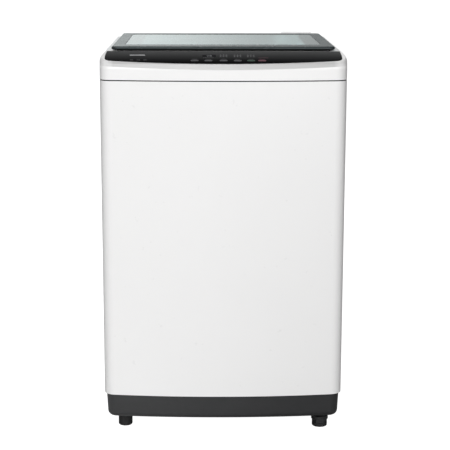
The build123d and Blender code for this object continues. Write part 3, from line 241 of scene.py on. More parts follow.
class Surface(Tree):
    """A Principled material in object coordinates, which are metres in the part's own frame."""

    def __init__(self, name):
        self.material = bpy.data.materials.new(name)
        super().__init__(self.material)
        self.shader = self.nodes["Principled BSDF"]
        self.place = self.nodes.new("ShaderNodeTexCoord").outputs["Object"]
        self.x, self.y, self.z = self.split(self.place)

    def set(self, **values):
        for key, value in values.items():
            self.shader.inputs[key.replace("_", " ")].default_value = value

    def stretched(self, scale):
        mapping = self.nodes.new("ShaderNodeMapping")
        mapping.inputs["Scale"].default_value = scale
        self.links.new(self.place, mapping.inputs["Vector"])
        return mapping.outputs[0]

    def noise(self, scale, detail=3.0, rough=0.5, stretch=None):
        node = self.nodes.new("ShaderNodeTexNoise")
        node.inputs["Scale"].default_value = scale
        node.inputs["Detail"].default_value = detail
        node.inputs["Roughness"].default_value = rough
        self.links.new(self.stretched(stretch) if stretch else self.place, node.inputs["Vector"])
        return node.outputs["Fac"]

    def voronoi(self, scale):
        node = self.nodes.new("ShaderNodeTexVoronoi")
        node.inputs["Scale"].default_value = scale
        self.links.new(self.place, node.inputs["Vector"])
        return node

    def worn_edges(self):
        """0 on flat ground, rising towards 1 on a sharp edge."""
        soft = self.nodes.new("ShaderNodeBevel")
        soft.samples = 4
        soft.inputs["Radius"].default_value = WEAR_REACH
        true_normal = self.nodes.new("ShaderNodeNewGeometry").outputs["Normal"]
        dot = self.nodes.new("ShaderNodeVectorMath")
        dot.operation = "DOT_PRODUCT"
        self.links.new(soft.outputs[0], dot.inputs[0])
        self.links.new(true_normal, dot.inputs[1])
        return self.ramp(dot.outputs["Value"], 1.0, 0.0, 0.75, 0.995)

    def bump(self, height, strength, distance, softened=True):
        node = self.nodes.new("ShaderNodeBump")
        node.inputs["Strength"].default_value = strength
        node.inputs["Distance"].default_value = distance
        self.links.new(height, node.inputs["Height"])
        if softened:
            edge = self.nodes.new("ShaderNodeBevel")
            edge.samples = 3
            edge.inputs["Radius"].default_value = EDGE
            self.links.new(edge.outputs[0], node.inputs["Normal"])
        self.links.new(node.outputs[0], self.shader.inputs["Normal"])

    def colour(self, socket):
        self.links.new(socket, self.shader.inputs["Base Color"])

    def roughness(self, socket):
        self.links.new(socket, self.shader.inputs["Roughness"])


def shade(colour, factor):
    return tuple(min(1.0, c * factor) for c in colour)


def plastic(name, colour, roughness, grain=900.0, depth=0.04, tint=0.06, wear=1.06, gloss=0.5):
    """Moulded plastic: fine mould texture, flow marks, paler handled edges and patchy gloss."""
    s = Surface(name)
    body = s.mix(s.ramp(s.noise(6, 4, 0.6), 0, 1), shade(colour, 1 - tint), colour)
    s.colour(s.mix(s.worn_edges(), body, shade(colour, wear)))
    s.roughness(s.ramp(s.noise(35, 5, 0.65), roughness * 0.92, roughness * 1.1))
    s.set(Specular_IOR_Level=gloss)
    s.bump(s.noise(grain, 2, 0.5), 0.35, depth * MM)
    return s.material


def paint(name, colour, roughness=0.3):
    """Baked enamel on sheet steel: orange peel under a clear gloss, and a slightly uneven tone."""
    s = Surface(name)
    s.colour(s.mix(s.ramp(s.noise(3, 3, 0.5), 0, 1), shade(colour, 0.985), colour))
    s.roughness(s.ramp(s.noise(60, 4, 0.6), roughness * 0.9, roughness * 1.15))
    s.set(Coat_Weight=0.3, Coat_Roughness=0.14)
    s.bump(s.noise(420, 2, 0.4), 0.2, 0.03 * MM)
    return s.material


PANEL_HALF = 0.2625           # half width of the control panel's lower edge
PANEL_EDGE = 0.8654           # height of that edge in the middle, and how much higher its ends are
PANEL_RISE = 6 * MM
SHADE_BAND = 12.6 * MM              # grey band of painted shade under that edge, on the bevel facing up, away from the front light
SHADE_BAND_BACK = -0.235            # the band starts ahead of this y, and is complete ahead of the next
SHADE_BAND_FULL = -0.25
SHADE_BAND_GREY = 0.55             # the painted shade's grey, as a share of the cover's white
CORNER_SHADE_BAND = 0.25            # how much of it is left at the cover's front corners
CORNER_SHADE_START = 0.243          # where it starts to fade, from the middle
CORNER_SHADE_END = 0.262


def cover_with_painted_shade(name, colour):
    """White moulded plastic with a satin gloss, and a greyer band of painted shade that follows the panel's
    lower edge, on the bevel under it.
    """
    s = Surface(name)
    across = s.maths("DIVIDE", s.x, PANEL_HALF)
    rise = s.maths("MULTIPLY", s.maths("MULTIPLY", across, across), PANEL_RISE)
    height = s.maths("SUBTRACT", s.z, rise)
    above = s.ramp(height, 0, 1, PANEL_EDGE - SHADE_BAND - 0.5 * MM, PANEL_EDGE - SHADE_BAND + 0.5 * MM)
    below = s.ramp(height, 1, 0, PANEL_EDGE + 1 * MM, PANEL_EDGE + 3 * MM)
    ahead = s.ramp(s.y, 1, 0, SHADE_BAND_FULL, SHADE_BAND_BACK)
    inner = s.ramp(s.maths("ABSOLUTE", s.x), 1, CORNER_SHADE_BAND, CORNER_SHADE_START, CORNER_SHADE_END)
    # painted shade: the grey band on the upward-facing bevel under the panel, which the front light reaches
    # less
    painted_shade = s.maths("MULTIPLY", s.maths("MULTIPLY", above, below), s.maths("MULTIPLY", ahead, inner))
    body = s.mix(s.ramp(s.noise(6, 4, 0.6), 0, 1), shade(colour, 0.988), colour)
    s.colour(s.mix(painted_shade, body, shade(colour, SHADE_BAND_GREY)))
    s.roughness(s.ramp(s.noise(35, 5, 0.65), 0.29, 0.4))
    s.set(Coat_Weight=0.15, Coat_Roughness=0.1)
    s.bump(s.noise(900, 2, 0.5), 0.3, 0.04 * MM)
    return s.material


def metal(name, colour, roughness, stretch=(1, 1, 1), grain=300.0, depth=0.02):
    """Bare metal with a rolled or turned grain along the direction that stretch leaves long."""
    s = Surface(name)
    lines = s.noise(grain, 4, 0.6, stretch)
    s.colour(s.mix(s.ramp(lines, 0, 1), shade(colour, 0.82), colour))
    s.roughness(s.ramp(lines, roughness * 0.75, roughness * 1.3))
    s.set(Metallic=1.0)
    s.bump(lines, 0.3, depth * MM)
    return s.material


def zinc_sheet(name):
    """Galvanised sheet: pale flakes of zinc crystals and dull patches."""
    s = Surface(name)
    flakes = s.voronoi(90)
    tone = s.nodes.new("ShaderNodeRGBToBW")
    s.links.new(flakes.outputs["Color"], tone.inputs[0])
    s.colour(s.mix(tone.outputs[0], (0.5, 0.52, 0.54), (0.66, 0.67, 0.68)))
    s.roughness(s.ramp(tone.outputs[0], 0.34, 0.52, 0, 1))
    s.set(Metallic=1.0)
    s.bump(s.noise(25, 4, 0.6), 0.2, 0.3 * MM)
    return s.material


def rubber(name, colour=(0.016, 0.016, 0.017)):
    """Black rubber with a pale bloom."""
    s = Surface(name)
    s.colour(s.mix(s.ramp(s.noise(40, 5, 0.7), 0, 1), colour, shade(colour, 2.2)))
    s.roughness(s.ramp(s.noise(120, 4, 0.6), 0.6, 0.85))
    s.bump(s.noise(700, 3, 0.6), 0.5, 0.08 * MM)
    return s.material


def gap_shadow_matt(name):
    """Near-black matt stand-in for painted shade in gaps, which hardly shines."""
    s = Surface(name)
    s.colour(s.mix(s.ramp(s.noise(60, 4, 0.6), 0, 1), (0.003, 0.003, 0.003), (0.007, 0.007, 0.0075)))
    s.roughness(s.ramp(s.noise(150, 3, 0.5), 0.7, 0.9))
    s.set(Specular_IOR_Level=0.08)
    s.bump(s.noise(900, 2, 0.5), 0.3, 0.04 * MM)
    return s.material


def lid_moulding_painted_shade(name, colour):
    """Satin grey plastic of the lid's frame, with painted shade that turns it near black along its lower
    edge, over the shadowed gap under the lid.
    """
    s = Surface(name)
    body = s.mix(s.ramp(s.noise(6, 4, 0.6), 0, 1), shade(colour, 0.94), colour)
    body = s.mix(s.worn_edges(), body, shade(colour, 1.4))
    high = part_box("lid_frame")[1]
    # painted shade: below this height the frame darkens to near black, for the shadow under its front edge
    up = s.ramp(s.z, 0, 1, high.z - 7 * MM, high.z - 3 * MM, smooth=True)
    s.colour(s.mix(up, shade(colour, 0.2), body))
    s.roughness(s.ramp(s.noise(35, 5, 0.65), 0.24, 0.285))
    s.set(Specular_IOR_Level=0.3, Specular_Tint=(0.86, 0.98, 1, 1))
    s.bump(s.noise(1200, 2, 0.5), 0.35, 0.02 * MM)
    return s.material


def panel_gloss_painted_reflection(name):
    """Glossy control panel, black along its lower edge and painted smoke grey towards the lid: a painted
    reflection of the bright room, with a faint cloud of tone.
    """
    s = Surface(name)
    low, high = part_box("control_panel")
    # painted reflection: the panel turns paler up its slope towards the lid
    up = s.ramp(s.z, 0, 1, low.z + 5 * MM, high.z)
    fade = s.maths("POWER", up, 1.5)
    cloud_and_reflection = s.maths("MULTIPLY", s.ramp(s.noise(9, 3, 0.5), 0.92, 1.08), fade)
    s.colour(s.mix(cloud_and_reflection, (0.002, 0.002, 0.0024), (0.08, 0.081, 0.082)))
    s.roughness(s.ramp(s.noise(30, 5, 0.65), 0.09, 0.15))
    s.set(Specular_IOR_Level=0.08)
    s.bump(s.noise(1500, 2, 0.5), 0.15, 0.01 * MM)
    return s.material


def lid_glass(name):
    """Tempered glass with a faint grey-green body and the slow waves of the furnace rollers."""
    s = Surface(name)
    s.colour(s.mix(s.ramp(s.noise(2, 2, 0.5), 0, 1), (0.42, 0.6, 0.6), (0.46, 0.64, 0.64)))
    s.roughness(s.ramp(s.noise(14, 4, 0.6), 0.015, 0.05))
    s.set(Transmission_Weight=0.95, IOR=1.5, Specular_Tint=(0.86, 1, 0.99, 1))
    s.bump(s.noise(1.5, 2, 0.4), 0.1, 0.3 * MM)
    return s.material


def circuit_board(name):
    """Green solder mask over tracks."""
    s = Surface(name)
    tracks = s.nodes.new("ShaderNodeTexBrick")
    tracks.inputs["Scale"].default_value = 140
    tracks.inputs["Mortar Size"].default_value = 0.06
    s.links.new(s.place, tracks.inputs["Vector"])
    s.colour(s.mix(tracks.outputs["Fac"], (0.012, 0.09, 0.035), (0.05, 0.2, 0.09)))
    s.roughness(s.ramp(s.noise(200, 3, 0.5), 0.25, 0.45))
    s.bump(tracks.outputs["Fac"], 0.4, 0.06 * MM)
    return s.material


def stainless_drum(name):
    """Drawn stainless sheet of the drum: upright grain and small pressed dimples."""
    s = Surface(name)
    grain = s.noise(420, 4, 0.6, (1, 1, 0.03))
    dimples = s.voronoi(62).outputs["Distance"]
    pressed = s.ramp(dimples, 0, 1, 0.12, 0.3, smooth=True)
    s.colour(s.mix(s.ramp(grain, 0, 1), (0.74, 0.75, 0.76), (0.82, 0.83, 0.84)))
    s.roughness(s.ramp(grain, 0.26, 0.38))
    s.set(Metallic=0.8)
    s.bump(s.maths("ADD", s.maths("MULTIPLY", grain, 0.012), pressed), 0.35, 0.4 * MM)
    return s.material


def ink(name, colour, glow=0.0):
    """Screen-printed ink, a little thin in places."""
    s = Surface(name)
    s.colour(s.mix(s.ramp(s.noise(900, 3, 0.6), 0, 1), shade(colour, 0.8), colour))
    s.roughness(s.ramp(s.noise(300, 2, 0.5), 0.4, 0.6))
    s.set(Emission_Color=(*colour, 1), Emission_Strength=glow)
    s.bump(s.noise(1500, 2, 0.5), 0.2, 0.01 * MM, softened=False)
    return s.material


LOOKS = {
    "white_steel": paint("white_enamel", (0.858, 0.855, 0.853)),
    "white_plastic": cover_with_painted_shade("white_moulding_painted_shade", (0.858, 0.855, 0.853)),
    "black_gloss": panel_gloss_painted_reflection("panel_gloss_painted_reflection"),
    "base_plastic": plastic("base_grey", (0.0152, 0.0157, 0.0172), 0.36, 1100, 0.06, 0.12, 1.5, gloss=0.9),
    "lid_plastic": lid_moulding_painted_shade("lid_grey_painted_shade", (0.03, 0.036, 0.038)),
    "lid_glass": lid_glass("lid_glass"),
    "rubber": rubber("rubber", (0.009, 0.009, 0.0095)),
    "button_grey": plastic("button_grey", (0.085, 0.085, 0.09), 0.35),
    "button_green": plastic("button_green", (0.05, 0.08, 0.062), 0.35),
    "button_red": plastic("button_red", (0.13, 0.06, 0.075), 0.35),
    "display": plastic("display_smoke", (0.012, 0.012, 0.014), 0.12, 1500, 0.005, gloss=0.35),
    "circuit_board": circuit_board("circuit_board"),
    "plated_steel": zinc_sheet("zinc_sheet"),
    "stainless": stainless_drum("stainless_drum"),
    "bright_steel": metal("bright_steel", (0.7, 0.7, 0.71), 0.2, (1, 1, 0.1)),
    "aluminium": metal("cast_aluminium", (0.66, 0.67, 0.68), 0.45, (1, 1, 1), 180, 0.1),
    "tub_plastic": plastic("tub_white", (0.62, 0.63, 0.62), 0.5, 500, 0.1, 0.1, 1.1),
    "pulsator_plastic": plastic("pulsator_grey", (0.42, 0.47, 0.51), 0.3, 700, 0.03, 0.06, 1.15),
    "grey_plastic": plastic("grey_moulding", (0.3, 0.31, 0.32), 0.5, 700, 0.08, 0.12, 1.2),
    "dark_paint": paint("dark_enamel", (0.03, 0.035, 0.04), 0.4),
}
# near-black stand-in for the painted shade in the gaps at the seam and under the lid
GAP_SHADOW_BLACK = gap_shadow_matt("gap_shadow_black")
# painted light: the white print glows faintly, though it is no lamp
MARK_WHITE_PAINTED_GLOW = ink("mark_white_painted_glow", (0.75, 0.76, 0.77), 0.05)
MARK_DIM = ink("mark_dim", (0.16, 0.16, 0.165))
MARK_RED = ink("mark_red", (0.2, 0.1, 0.12))
SEGMENT_LIT = ink("segment_lit", (0.3, 0.31, 0.32), 0.06)
SEGMENT_OFF = ink("segment_off", (0.03, 0.03, 0.032))

slot_of = {part["node"]: part["material_slot"] for part in frame["record"]["subparts"]}
for name, node in frame["nodes"].items():
    node.data.materials.clear()
    node.data.materials.append(LOOKS[slot_of[name]])

# ---------------------------------------------------------------- mesh work

SHARP = math.radians(40)      # an edge that turns more than this stays sharp


def add_piece(name, bm, material, body=None):
    """Turns bm into a smooth-shaded piece that rides on body, or on nothing yet if body is None."""
    bmesh.ops.remove_doubles(bm, verts=bm.verts, dist=1e-7)
    bmesh.ops.recalc_face_normals(bm, faces=bm.faces)
    mesh = bpy.data.meshes.new(name)
    bm.to_mesh(mesh)
    bm.free()
    for face in mesh.polygons:
        face.use_smooth = True
    mesh.materials.append(material)
    piece = bpy.data.objects.new(name, mesh)
    bpy.context.scene.collection.objects.link(piece)
    mesh.set_sharp_from_angle(angle=SHARP)
    if body:
        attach(piece, body)
    return piece


def add_tube(bm, points, radii, sides):
    """A round tube with closed ends along points, radii giving its radius at each."""
    rings = []
    side = None
    for i, point in enumerate(points):
        ahead = (points[min(i + 1, len(points) - 1)] - points[max(i - 1, 0)]).normalized()
        if side is None:
            side = ahead.orthogonal().normalized()
        side = (side - ahead * side.dot(ahead)).normalized()
        other = ahead.cross(side)
        ring = []
        for k in range(sides):
            angle = 2 * math.pi * k / sides
            ring.append(bm.verts.new(point + radii[i] * (math.cos(angle) * side + math.sin(angle) * other)))
        rings.append(ring)
    for a, b in zip(rings, rings[1:]):
        for k in range(sides):
            bm.faces.new((a[k], a[(k + 1) % sides], b[(k + 1) % sides], b[k]))
    bm.faces.new(rings[0][::-1])
    bm.faces.new(rings[-1])


def add_plate(bm, outline, lift, chamfer):
    """A thin raised plate over a closed outline, its top edge chamfered: lift is its height as a vector."""
    centre = sum(outline, Vector()) / len(outline)
    low = [bm.verts.new(p) for p in outline]
    mid = [bm.verts.new(p + lift * 0.6) for p in outline]
    top = [bm.verts.new(p + lift + (centre - p).normalized() * chamfer) for p in outline]
    count = len(outline)
    for a, b in ((low, mid), (mid, top)):
        for k in range(count):
            bm.faces.new((a[k], a[(k + 1) % count], b[(k + 1) % count], b[k]))
    bm.faces.new(top)
    bm.faces.new(low[::-1])


def stadium(centre, u, v, length, width, arc=8):
    """Outline of a bar with round ends, its length along u and its width along v."""
    radius = width / 2
    points = []
    for end in (1, -1):
        for k in range(arc + 1):
            angle = math.radians(-90 + 180 * k / arc)
            along = (length / 2 - radius) + radius * math.cos(angle)
            points.append(centre + u * (end * along) + v * (end * radius * math.sin(angle)))
    return points


def disc(centre, u, v, radius, sides=16):
    """Outline of a round dot."""
    steps = [2 * math.pi * k / sides for k in range(sides)]
    return [centre + u * (radius * math.cos(a)) + v * (radius * math.sin(a)) for a in steps]


# ---------------------------------------------------------------- marks on the control panel

BUTTONS = ["button_delay", "button_water_level", "button_function", "button_program",
           "button_start_pause", "button_power"]
MARK_LIFT = 0.12 * MM         # thickness of a printed mark
MARK_BEVEL = 0.03 * MM
MARK_GAP = 0.02 * MM          # between the panel and a mark's underside
GROUPED = ("button_function", "button_program", "button_start_pause")   # buttons with lamps above them

# distances up the slope from the line of buttons, then lengths and widths of the bars
CAPTION_UP = 6.6 * MM
CAPTION_SIZE = (11 * MM, 0.9 * MM)
CHOICE_UP = (19 * MM, 23.5 * MM, 28 * MM)
CHOICE_PITCH = 6.5 * MM
CHOICE_SIZE = (4.6 * MM, 0.9 * MM)
LAMP_UP = 1.9 * MM            # from a choice to its lamp
LAMP_R = 0.6 * MM
DISPLAY_CAPTION_UP = 14.5 * MM
DISPLAY_CAPTION_SIZE = (24 * MM, 0.7 * MM)
POWER_SIZE = (12 * MM, 0.9 * MM)
POWER_NOTE_UP = 14 * MM
POWER_NOTE_RIGHT = 3 * MM
POWER_NOTE_SIZE = (22 * MM, 0.8 * MM)
PLAIN_BAR_X = -0.191
PLAIN_BAR_UP = 28 * MM
PLAIN_BAR_SIZE = (34 * MM, 2.4 * MM)
SMALL_BARS_X = (-0.203, -0.188, -0.173)
SMALL_BARS_UP = 2.5 * MM
SMALL_BARS_SIZE = (8 * MM, 1.2 * MM)


def box_middle(node):
    low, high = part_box(node)
    return (low + high) / 2


def surface_under(node, x, y):
    """The point and normal of a CAD node straight below (x, y)."""
    hit, place, normal, _ = frame["nodes"][node].ray_cast(Vector((x, y, 2.0)), -Z_AXIS)
    if not hit:
        raise ValueError(f"nothing of {node} lies under {x}, {y}")
    return place, normal


panel_middle = box_middle("control_panel")
PANEL_POINT, PANEL_NORMAL = surface_under("control_panel", 0.12, panel_middle.y)
UP_SLOPE = PANEL_NORMAL.cross(X_AXIS)
button_line = (box_middle(BUTTONS[0]) - PANEL_POINT).dot(UP_SLOPE)


def on_panel(x, up):
    """A point on the panel's surface at x, up metres up the slope from the line of buttons."""
    place = PANEL_POINT + X_AXIS * (x - PANEL_POINT.x) + UP_SLOPE * (button_line + up)
    return place + PANEL_NORMAL * MARK_GAP


def add_bar(bm, x, up, size):
    outline = stadium(on_panel(x, up), X_AXIS, UP_SLOPE, *size)
    add_plate(bm, outline, PANEL_NORMAL * MARK_LIFT, MARK_BEVEL)


def add_dot(bm, x, up, radius):
    add_plate(bm, disc(on_panel(x, up), X_AXIS, UP_SLOPE, radius), PANEL_NORMAL * MARK_LIFT, MARK_BEVEL)


def make_panel_marks():
    """Plain bars and dots where a printed panel has its captions and lamps."""
    captions = bmesh.new()
    lamps = bmesh.new()
    for name in BUTTONS[:-1]:
        x = box_middle(name).x
        add_bar(captions, x, CAPTION_UP, CAPTION_SIZE)
        if name in GROUPED:
            for up in CHOICE_UP:
                for column in (-1, 0, 1):
                    across = x + column * CHOICE_PITCH
                    add_bar(captions, across, up, CHOICE_SIZE)
                    add_dot(lamps, across, up + LAMP_UP, LAMP_R)
    add_bar(captions, box_middle("button_water_level").x, DISPLAY_CAPTION_UP, DISPLAY_CAPTION_SIZE)
    add_piece("panel_captions", captions, MARK_DIM, "cabinet")
    add_piece("panel_lamps", lamps, SEGMENT_LIT, "cabinet")
    power = bmesh.new()
    x = box_middle("button_power").x
    add_bar(power, x, CAPTION_UP, POWER_SIZE)
    add_bar(power, x + POWER_NOTE_RIGHT, POWER_NOTE_UP, POWER_NOTE_SIZE)
    add_piece("power_caption", power, MARK_RED, "cabinet")
    plate = bmesh.new()
    add_bar(plate, PLAIN_BAR_X, PLAIN_BAR_UP, PLAIN_BAR_SIZE)
    add_piece("plain_bar", plate, MARK_WHITE_PAINTED_GLOW, "cabinet")
    notes = bmesh.new()
    for x in SMALL_BARS_X:
        add_bar(notes, x, SMALL_BARS_UP, SMALL_BARS_SIZE)
    add_piece("small_bars", notes, MARK_DIM, "cabinet")


# each segment's place, in half widths and half heights of a digit, and whether it lies level
SEGMENTS = {"top": (0, 1, True), "middle": (0, 0, True), "bottom": (0, -1, True),
            "upper_left": (-0.5, 0.5, False), "upper_right": (0.5, 0.5, False),
            "lower_left": (-0.5, -0.5, False), "lower_right": (0.5, -0.5, False)}
DIGITS = {"3": ("top", "middle", "bottom", "upper_right", "lower_right"),
          "8": tuple(SEGMENTS)}
DIGIT_W = 3.4 * MM
DIGIT_HALF_H = 3.2 * MM
DIGIT_PITCH = 6.5 * MM
SEGMENT_W = 0.7 * MM
SEGMENT_SHARE = 0.86          # a segment's length, as a share of its side of the digit


def make_display():
    """A two-digit, seven-segment number under the smoked window."""
    place, normal = surface_under("display_window", *box_middle("display_window").xy)
    lit, off = bmesh.new(), bmesh.new()
    for index, digit in enumerate("38"):
        centre = place + X_AXIS * ((index - 0.5) * DIGIT_PITCH) + normal * MARK_GAP
        for name, (right, up, level) in SEGMENTS.items():
            middle = centre + X_AXIS * (right * DIGIT_W) + UP_SLOPE * (up * DIGIT_HALF_H)
            u, v, side = (X_AXIS, UP_SLOPE, DIGIT_W) if level else (UP_SLOPE, -X_AXIS, DIGIT_HALF_H)
            outline = stadium(middle, u, v, side * SEGMENT_SHARE, SEGMENT_W, 3)
            bm = lit if name in DIGITS[digit] else off
            add_plate(bm, outline, normal * MARK_LIFT, MARK_BEVEL)
    add_piece("display_digits", lit, SEGMENT_LIT, "cabinet")
    add_piece("display_unlit", off, SEGMENT_OFF, "cabinet")


make_panel_marks()
make_display()

# ---------------------------------------------------------------- springs and hose

SPRING_TURNS = 8
SPRING_WIRE = 2.1 * MM        # radius of the wire
SPRING_R = 16 * MM            # of the coil, to the middle of the wire
SPRING_OUTER = 18 * MM        # of the plain sleeve that the coil replaces
SPRING_STEPS = 28             # points for each turn


def spring_height(turn, low, high):
    """Height of the wire's middle at a turn count: the first and last turns lie flat."""
    bottom, top = low + SPRING_WIRE, high - SPRING_WIRE
    closed = 2 * SPRING_WIRE
    if turn < 1:
        return bottom + closed * turn
    if turn > SPRING_TURNS - 1:
        return top - closed * (SPRING_TURNS - turn)
    share = (turn - 1) / (SPRING_TURNS - 2)
    return bottom + closed + share * (top - bottom - 2 * closed)


def make_springs():
    """Coils in place of the four plain sleeves, stretching between the cabinet and the tub."""
    low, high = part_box("suspension_springs")
    middle = (low + high) / 2
    reach = (high - low) / 2
    bm = bmesh.new()
    for side_x in (-1, 1):
        for side_y in (-1, 1):
            cx = middle.x + side_x * (reach.x - SPRING_OUTER)
            cy = middle.y + side_y * (reach.y - SPRING_OUTER)
            line = []
            for k in range(SPRING_TURNS * SPRING_STEPS + 1):
                turn = k / SPRING_STEPS
                angle = 2 * math.pi * turn
                x, y = cx + SPRING_R * math.cos(angle), cy + SPRING_R * math.sin(angle)
                line.append(Vector((x, y, spring_height(turn, low.z, high.z))))
            add_tube(bm, line, [SPRING_WIRE] * len(line), 10)
    piece = add_piece("suspension_coils", bm, LOOKS["bright_steel"])
    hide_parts("suspension_springs")
    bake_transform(piece)


HOSE_R = 14 * MM
HOSE_STEP = 1.2 * MM          # between the rings of its mesh
HOSE_PITCH = 7 * MM           # of its ribs
HOSE_RIB = 2.2 * MM           # their depth
HOSE_CUFF = 22 * MM           # plain part at each end
HOSE_FADE = 4 * MM            # over which the ribs begin
HOSE_SIDES = 32
CLIP_AT = 8                   # rings from each end of the hose
CLIP_START = -80              # degrees round the hose, and how far the wire goes
CLIP_SPAN = 340
CLIP_STEPS = 72
CLIP_WIRE = 1.0 * MM          # radius of the wire
CLIP_OUT = 0.9 * MM           # from the hose to the middle of the wire
CLIP_EAR = 1.6 * MM           # step of the four points of each upturned end
HOSE_ROUTE = [(-0.196, -0.1, 0.213), (-0.218, -0.1, 0.213), (-0.236, -0.096, 0.213), (-0.238, -0.06, 0.209),
              (-0.238, -0.02, 0.203), (-0.236, 0.06, 0.186), (-0.232, 0.11, 0.172), (-0.212, 0.168, 0.161),
              (-0.2, 0.2, 0.16), (-0.2, 0.246, 0.16)]


def smooth_line(points, resolution=24):
    """Points along the NURBS spline that has points as its control points."""
    data = bpy.data.curves.new("route", "CURVE")
    data.dimensions = "3D"
    data.resolution_u = resolution
    spline = data.splines.new("NURBS")
    spline.points.add(len(points) - 1)
    for control, place in zip(spline.points, points):
        control.co = (*place, 1)
    spline.order_u = 3
    spline.use_endpoint_u = True
    route = bpy.data.objects.new("route", data)
    line = bpy.data.meshes.new_from_object(route)
    found = [v.co.copy() for v in line.vertices]
    bpy.data.meshes.remove(line)
    bpy.data.objects.remove(route)
    bpy.data.curves.remove(data)
    return found


def even_points(line, step):
    """The line again, as points step apart."""
    lengths = [0.0]
    for a, b in zip(line, line[1:]):
        lengths.append(lengths[-1] + (b - a).length)
    count = max(2, round(lengths[-1] / step))
    found = []
    index = 0
    for k in range(count + 1):
        want = lengths[-1] * k / count
        while index < len(lengths) - 2 and lengths[index + 1] < want:
            index += 1
        share = (want - lengths[index]) / max(1e-9, lengths[index + 1] - lengths[index])
        found.append(line[index].lerp(line[index + 1], share))
    return found


def make_hose():
    """The ribbed rubber hose from the drain valve to the outlet, with plain cuffs and wire clips."""
    line = even_points(smooth_line(HOSE_ROUTE), HOSE_STEP)
    total = HOSE_STEP * (len(line) - 1)
    radii = []
    for k in range(len(line)):
        gone = k * HOSE_STEP
        inside = min(gone - HOSE_CUFF, total - HOSE_CUFF - gone)
        wave = 0.5 + 0.5 * math.cos(2 * math.pi * (gone - HOSE_CUFF) / HOSE_PITCH)
        fade = min(1.0, max(0.0, inside / HOSE_FADE))
        radii.append(HOSE_R - fade * HOSE_RIB * (1 - wave))
    bm = bmesh.new()
    add_tube(bm, line, radii, HOSE_SIDES)
    hose = add_piece("drain_bellows", bm, LOOKS["rubber"])
    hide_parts("drain_hose")
    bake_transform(hose)
    clips = (("hose_clip_tub", CLIP_AT, "tub"), ("hose_clip_outlet", len(line) - 1 - CLIP_AT, "cabinet"))
    for name, index, body in clips:
        bm = bmesh.new()
        middle = line[index]
        ahead = (line[index + 1] - line[index - 1]).normalized()
        side = ahead.cross(Z_AXIS).normalized()
        ring = []
        for k in range(CLIP_STEPS + 1):
            angle = math.radians(CLIP_START + CLIP_SPAN * k / CLIP_STEPS)
            out = side * math.cos(angle) + ahead.cross(side) * math.sin(angle)
            ring.append(middle + out * (HOSE_R + CLIP_OUT))
        for end in (0, -1):
            tip = (ring[end] - middle).normalized()
            ear = [ring[end] + tip * (k * CLIP_EAR) for k in range(1, 5)]
            ring = ear[::-1] + ring if end == 0 else ring + ear
        add_tube(bm, ring, [CLIP_WIRE] * len(ring), 8)
        add_piece(name, bm, LOOKS["bright_steel"], body)


make_springs()
make_hose()

# ---------------------------------------------------------------- small hardware, and near-black strips of painted shade in gaps

SEAM_OUTER = 1.15 * MM        # the painted shade strip's two faces, in from the cabinet's outline
SEAM_INNER = 1.75 * MM
SEAM_BELOW = 3 * MM           # how far it goes below and above the cabinet's upper edge
SEAM_ABOVE = 2.2 * MM
RIM_DEPTH = 0.1 * MM          # vertices this near that edge belong to it
LID_SHADOW_SETBACK = 0.6 * MM   # the painted shade strip's setback from the lid's front edge, and from each end of it
LID_SHADOW_SHORT = 12 * MM
DECK_PROBE = 6 * MM           # behind the lid's front edge, where the deck's height is taken
CROSS_ARM = 1.9 * MM
CROSS_WIDTH = 0.8 * MM
CROSS_SUNK = 0.1 * MM         # under the top of the screw's head, and the cross's own height
CROSS_LIFT = 0.15 * MM
THREAD_PITCH = 1.8 * MM
THREAD_TURNS = 8
THREAD_STEPS = 40             # points for each turn
THREAD_START = 1.4 * MM       # from the mouth
THREAD_THIN = 0.15 * MM       # half its thickness where it runs out, and what it gains over one turn
THREAD_GAIN = 0.55 * MM


def islands(node):
    """The lowest and highest corner of each separate solid in a CAD node's mesh."""
    bm = bmesh.new()
    bm.from_mesh(frame["nodes"][node].data)
    bmesh.ops.remove_doubles(bm, verts=bm.verts, dist=1e-6)
    left = set(bm.verts)
    found = []
    while left:
        seed = min(left, key=lambda v: v.index)
        group, queue = {seed}, [seed]
        while queue:
            for edge in queue.pop().link_edges:
                for vert in edge.verts:
                    if vert not in group:
                        group.add(vert)
                        queue.append(vert)
        left -= group
        low = Vector([min(v.co[i] for v in group) for i in range(3)])
        high = Vector([max(v.co[i] for v in group) for i in range(3)])
        found.append((low, high))
    bm.free()
    return sorted(found, key=lambda pair: tuple(round(c, 5) for c in pair[0]))


def add_cross(bm, centre, u, v, lift, arm, width):
    """A low raised cross, arm long from its centre to each tip: painted shade standing for a cross-head
    recess.
    """
    h = width / 2
    corners = [(h, h), (h, arm), (-h, arm), (-h, h), (-arm, h), (-arm, -h), (-h, -h), (-h, -arm), (h, -arm),
               (h, -h), (arm, -h), (arm, h)]
    outline = [centre + u * a + v * b for a, b in corners]
    low = [bm.verts.new(p) for p in outline]
    top = [bm.verts.new(p + lift) for p in outline]
    count = len(outline)
    for k in range(count):
        bm.faces.new((low[k], low[(k + 1) % count], top[(k + 1) % count], top[k]))
    bm.faces.new(top)
    bm.faces.new(low[::-1])


def outer_outline(node, level):
    """The outline, seen from above, round the vertices of a CAD node that lie above level."""
    places = sorted({(round(v.co.x, 6), round(v.co.y, 6)) for v in frame["nodes"][node].data.vertices
                     if v.co.z > level})

    def half(points):
        chain = []
        for p in points:
            while len(chain) > 1:
                (ax, ay), (bx, by) = chain[-2:]
                if (bx - ax) * (p[1] - ay) - (by - ay) * (p[0] - ax) > 1e-12:
                    break
                chain.pop()
            chain.append(p)
        return chain[:-1]

    return [Vector((*p, 0)) for p in half(places) + half(places[::-1])]


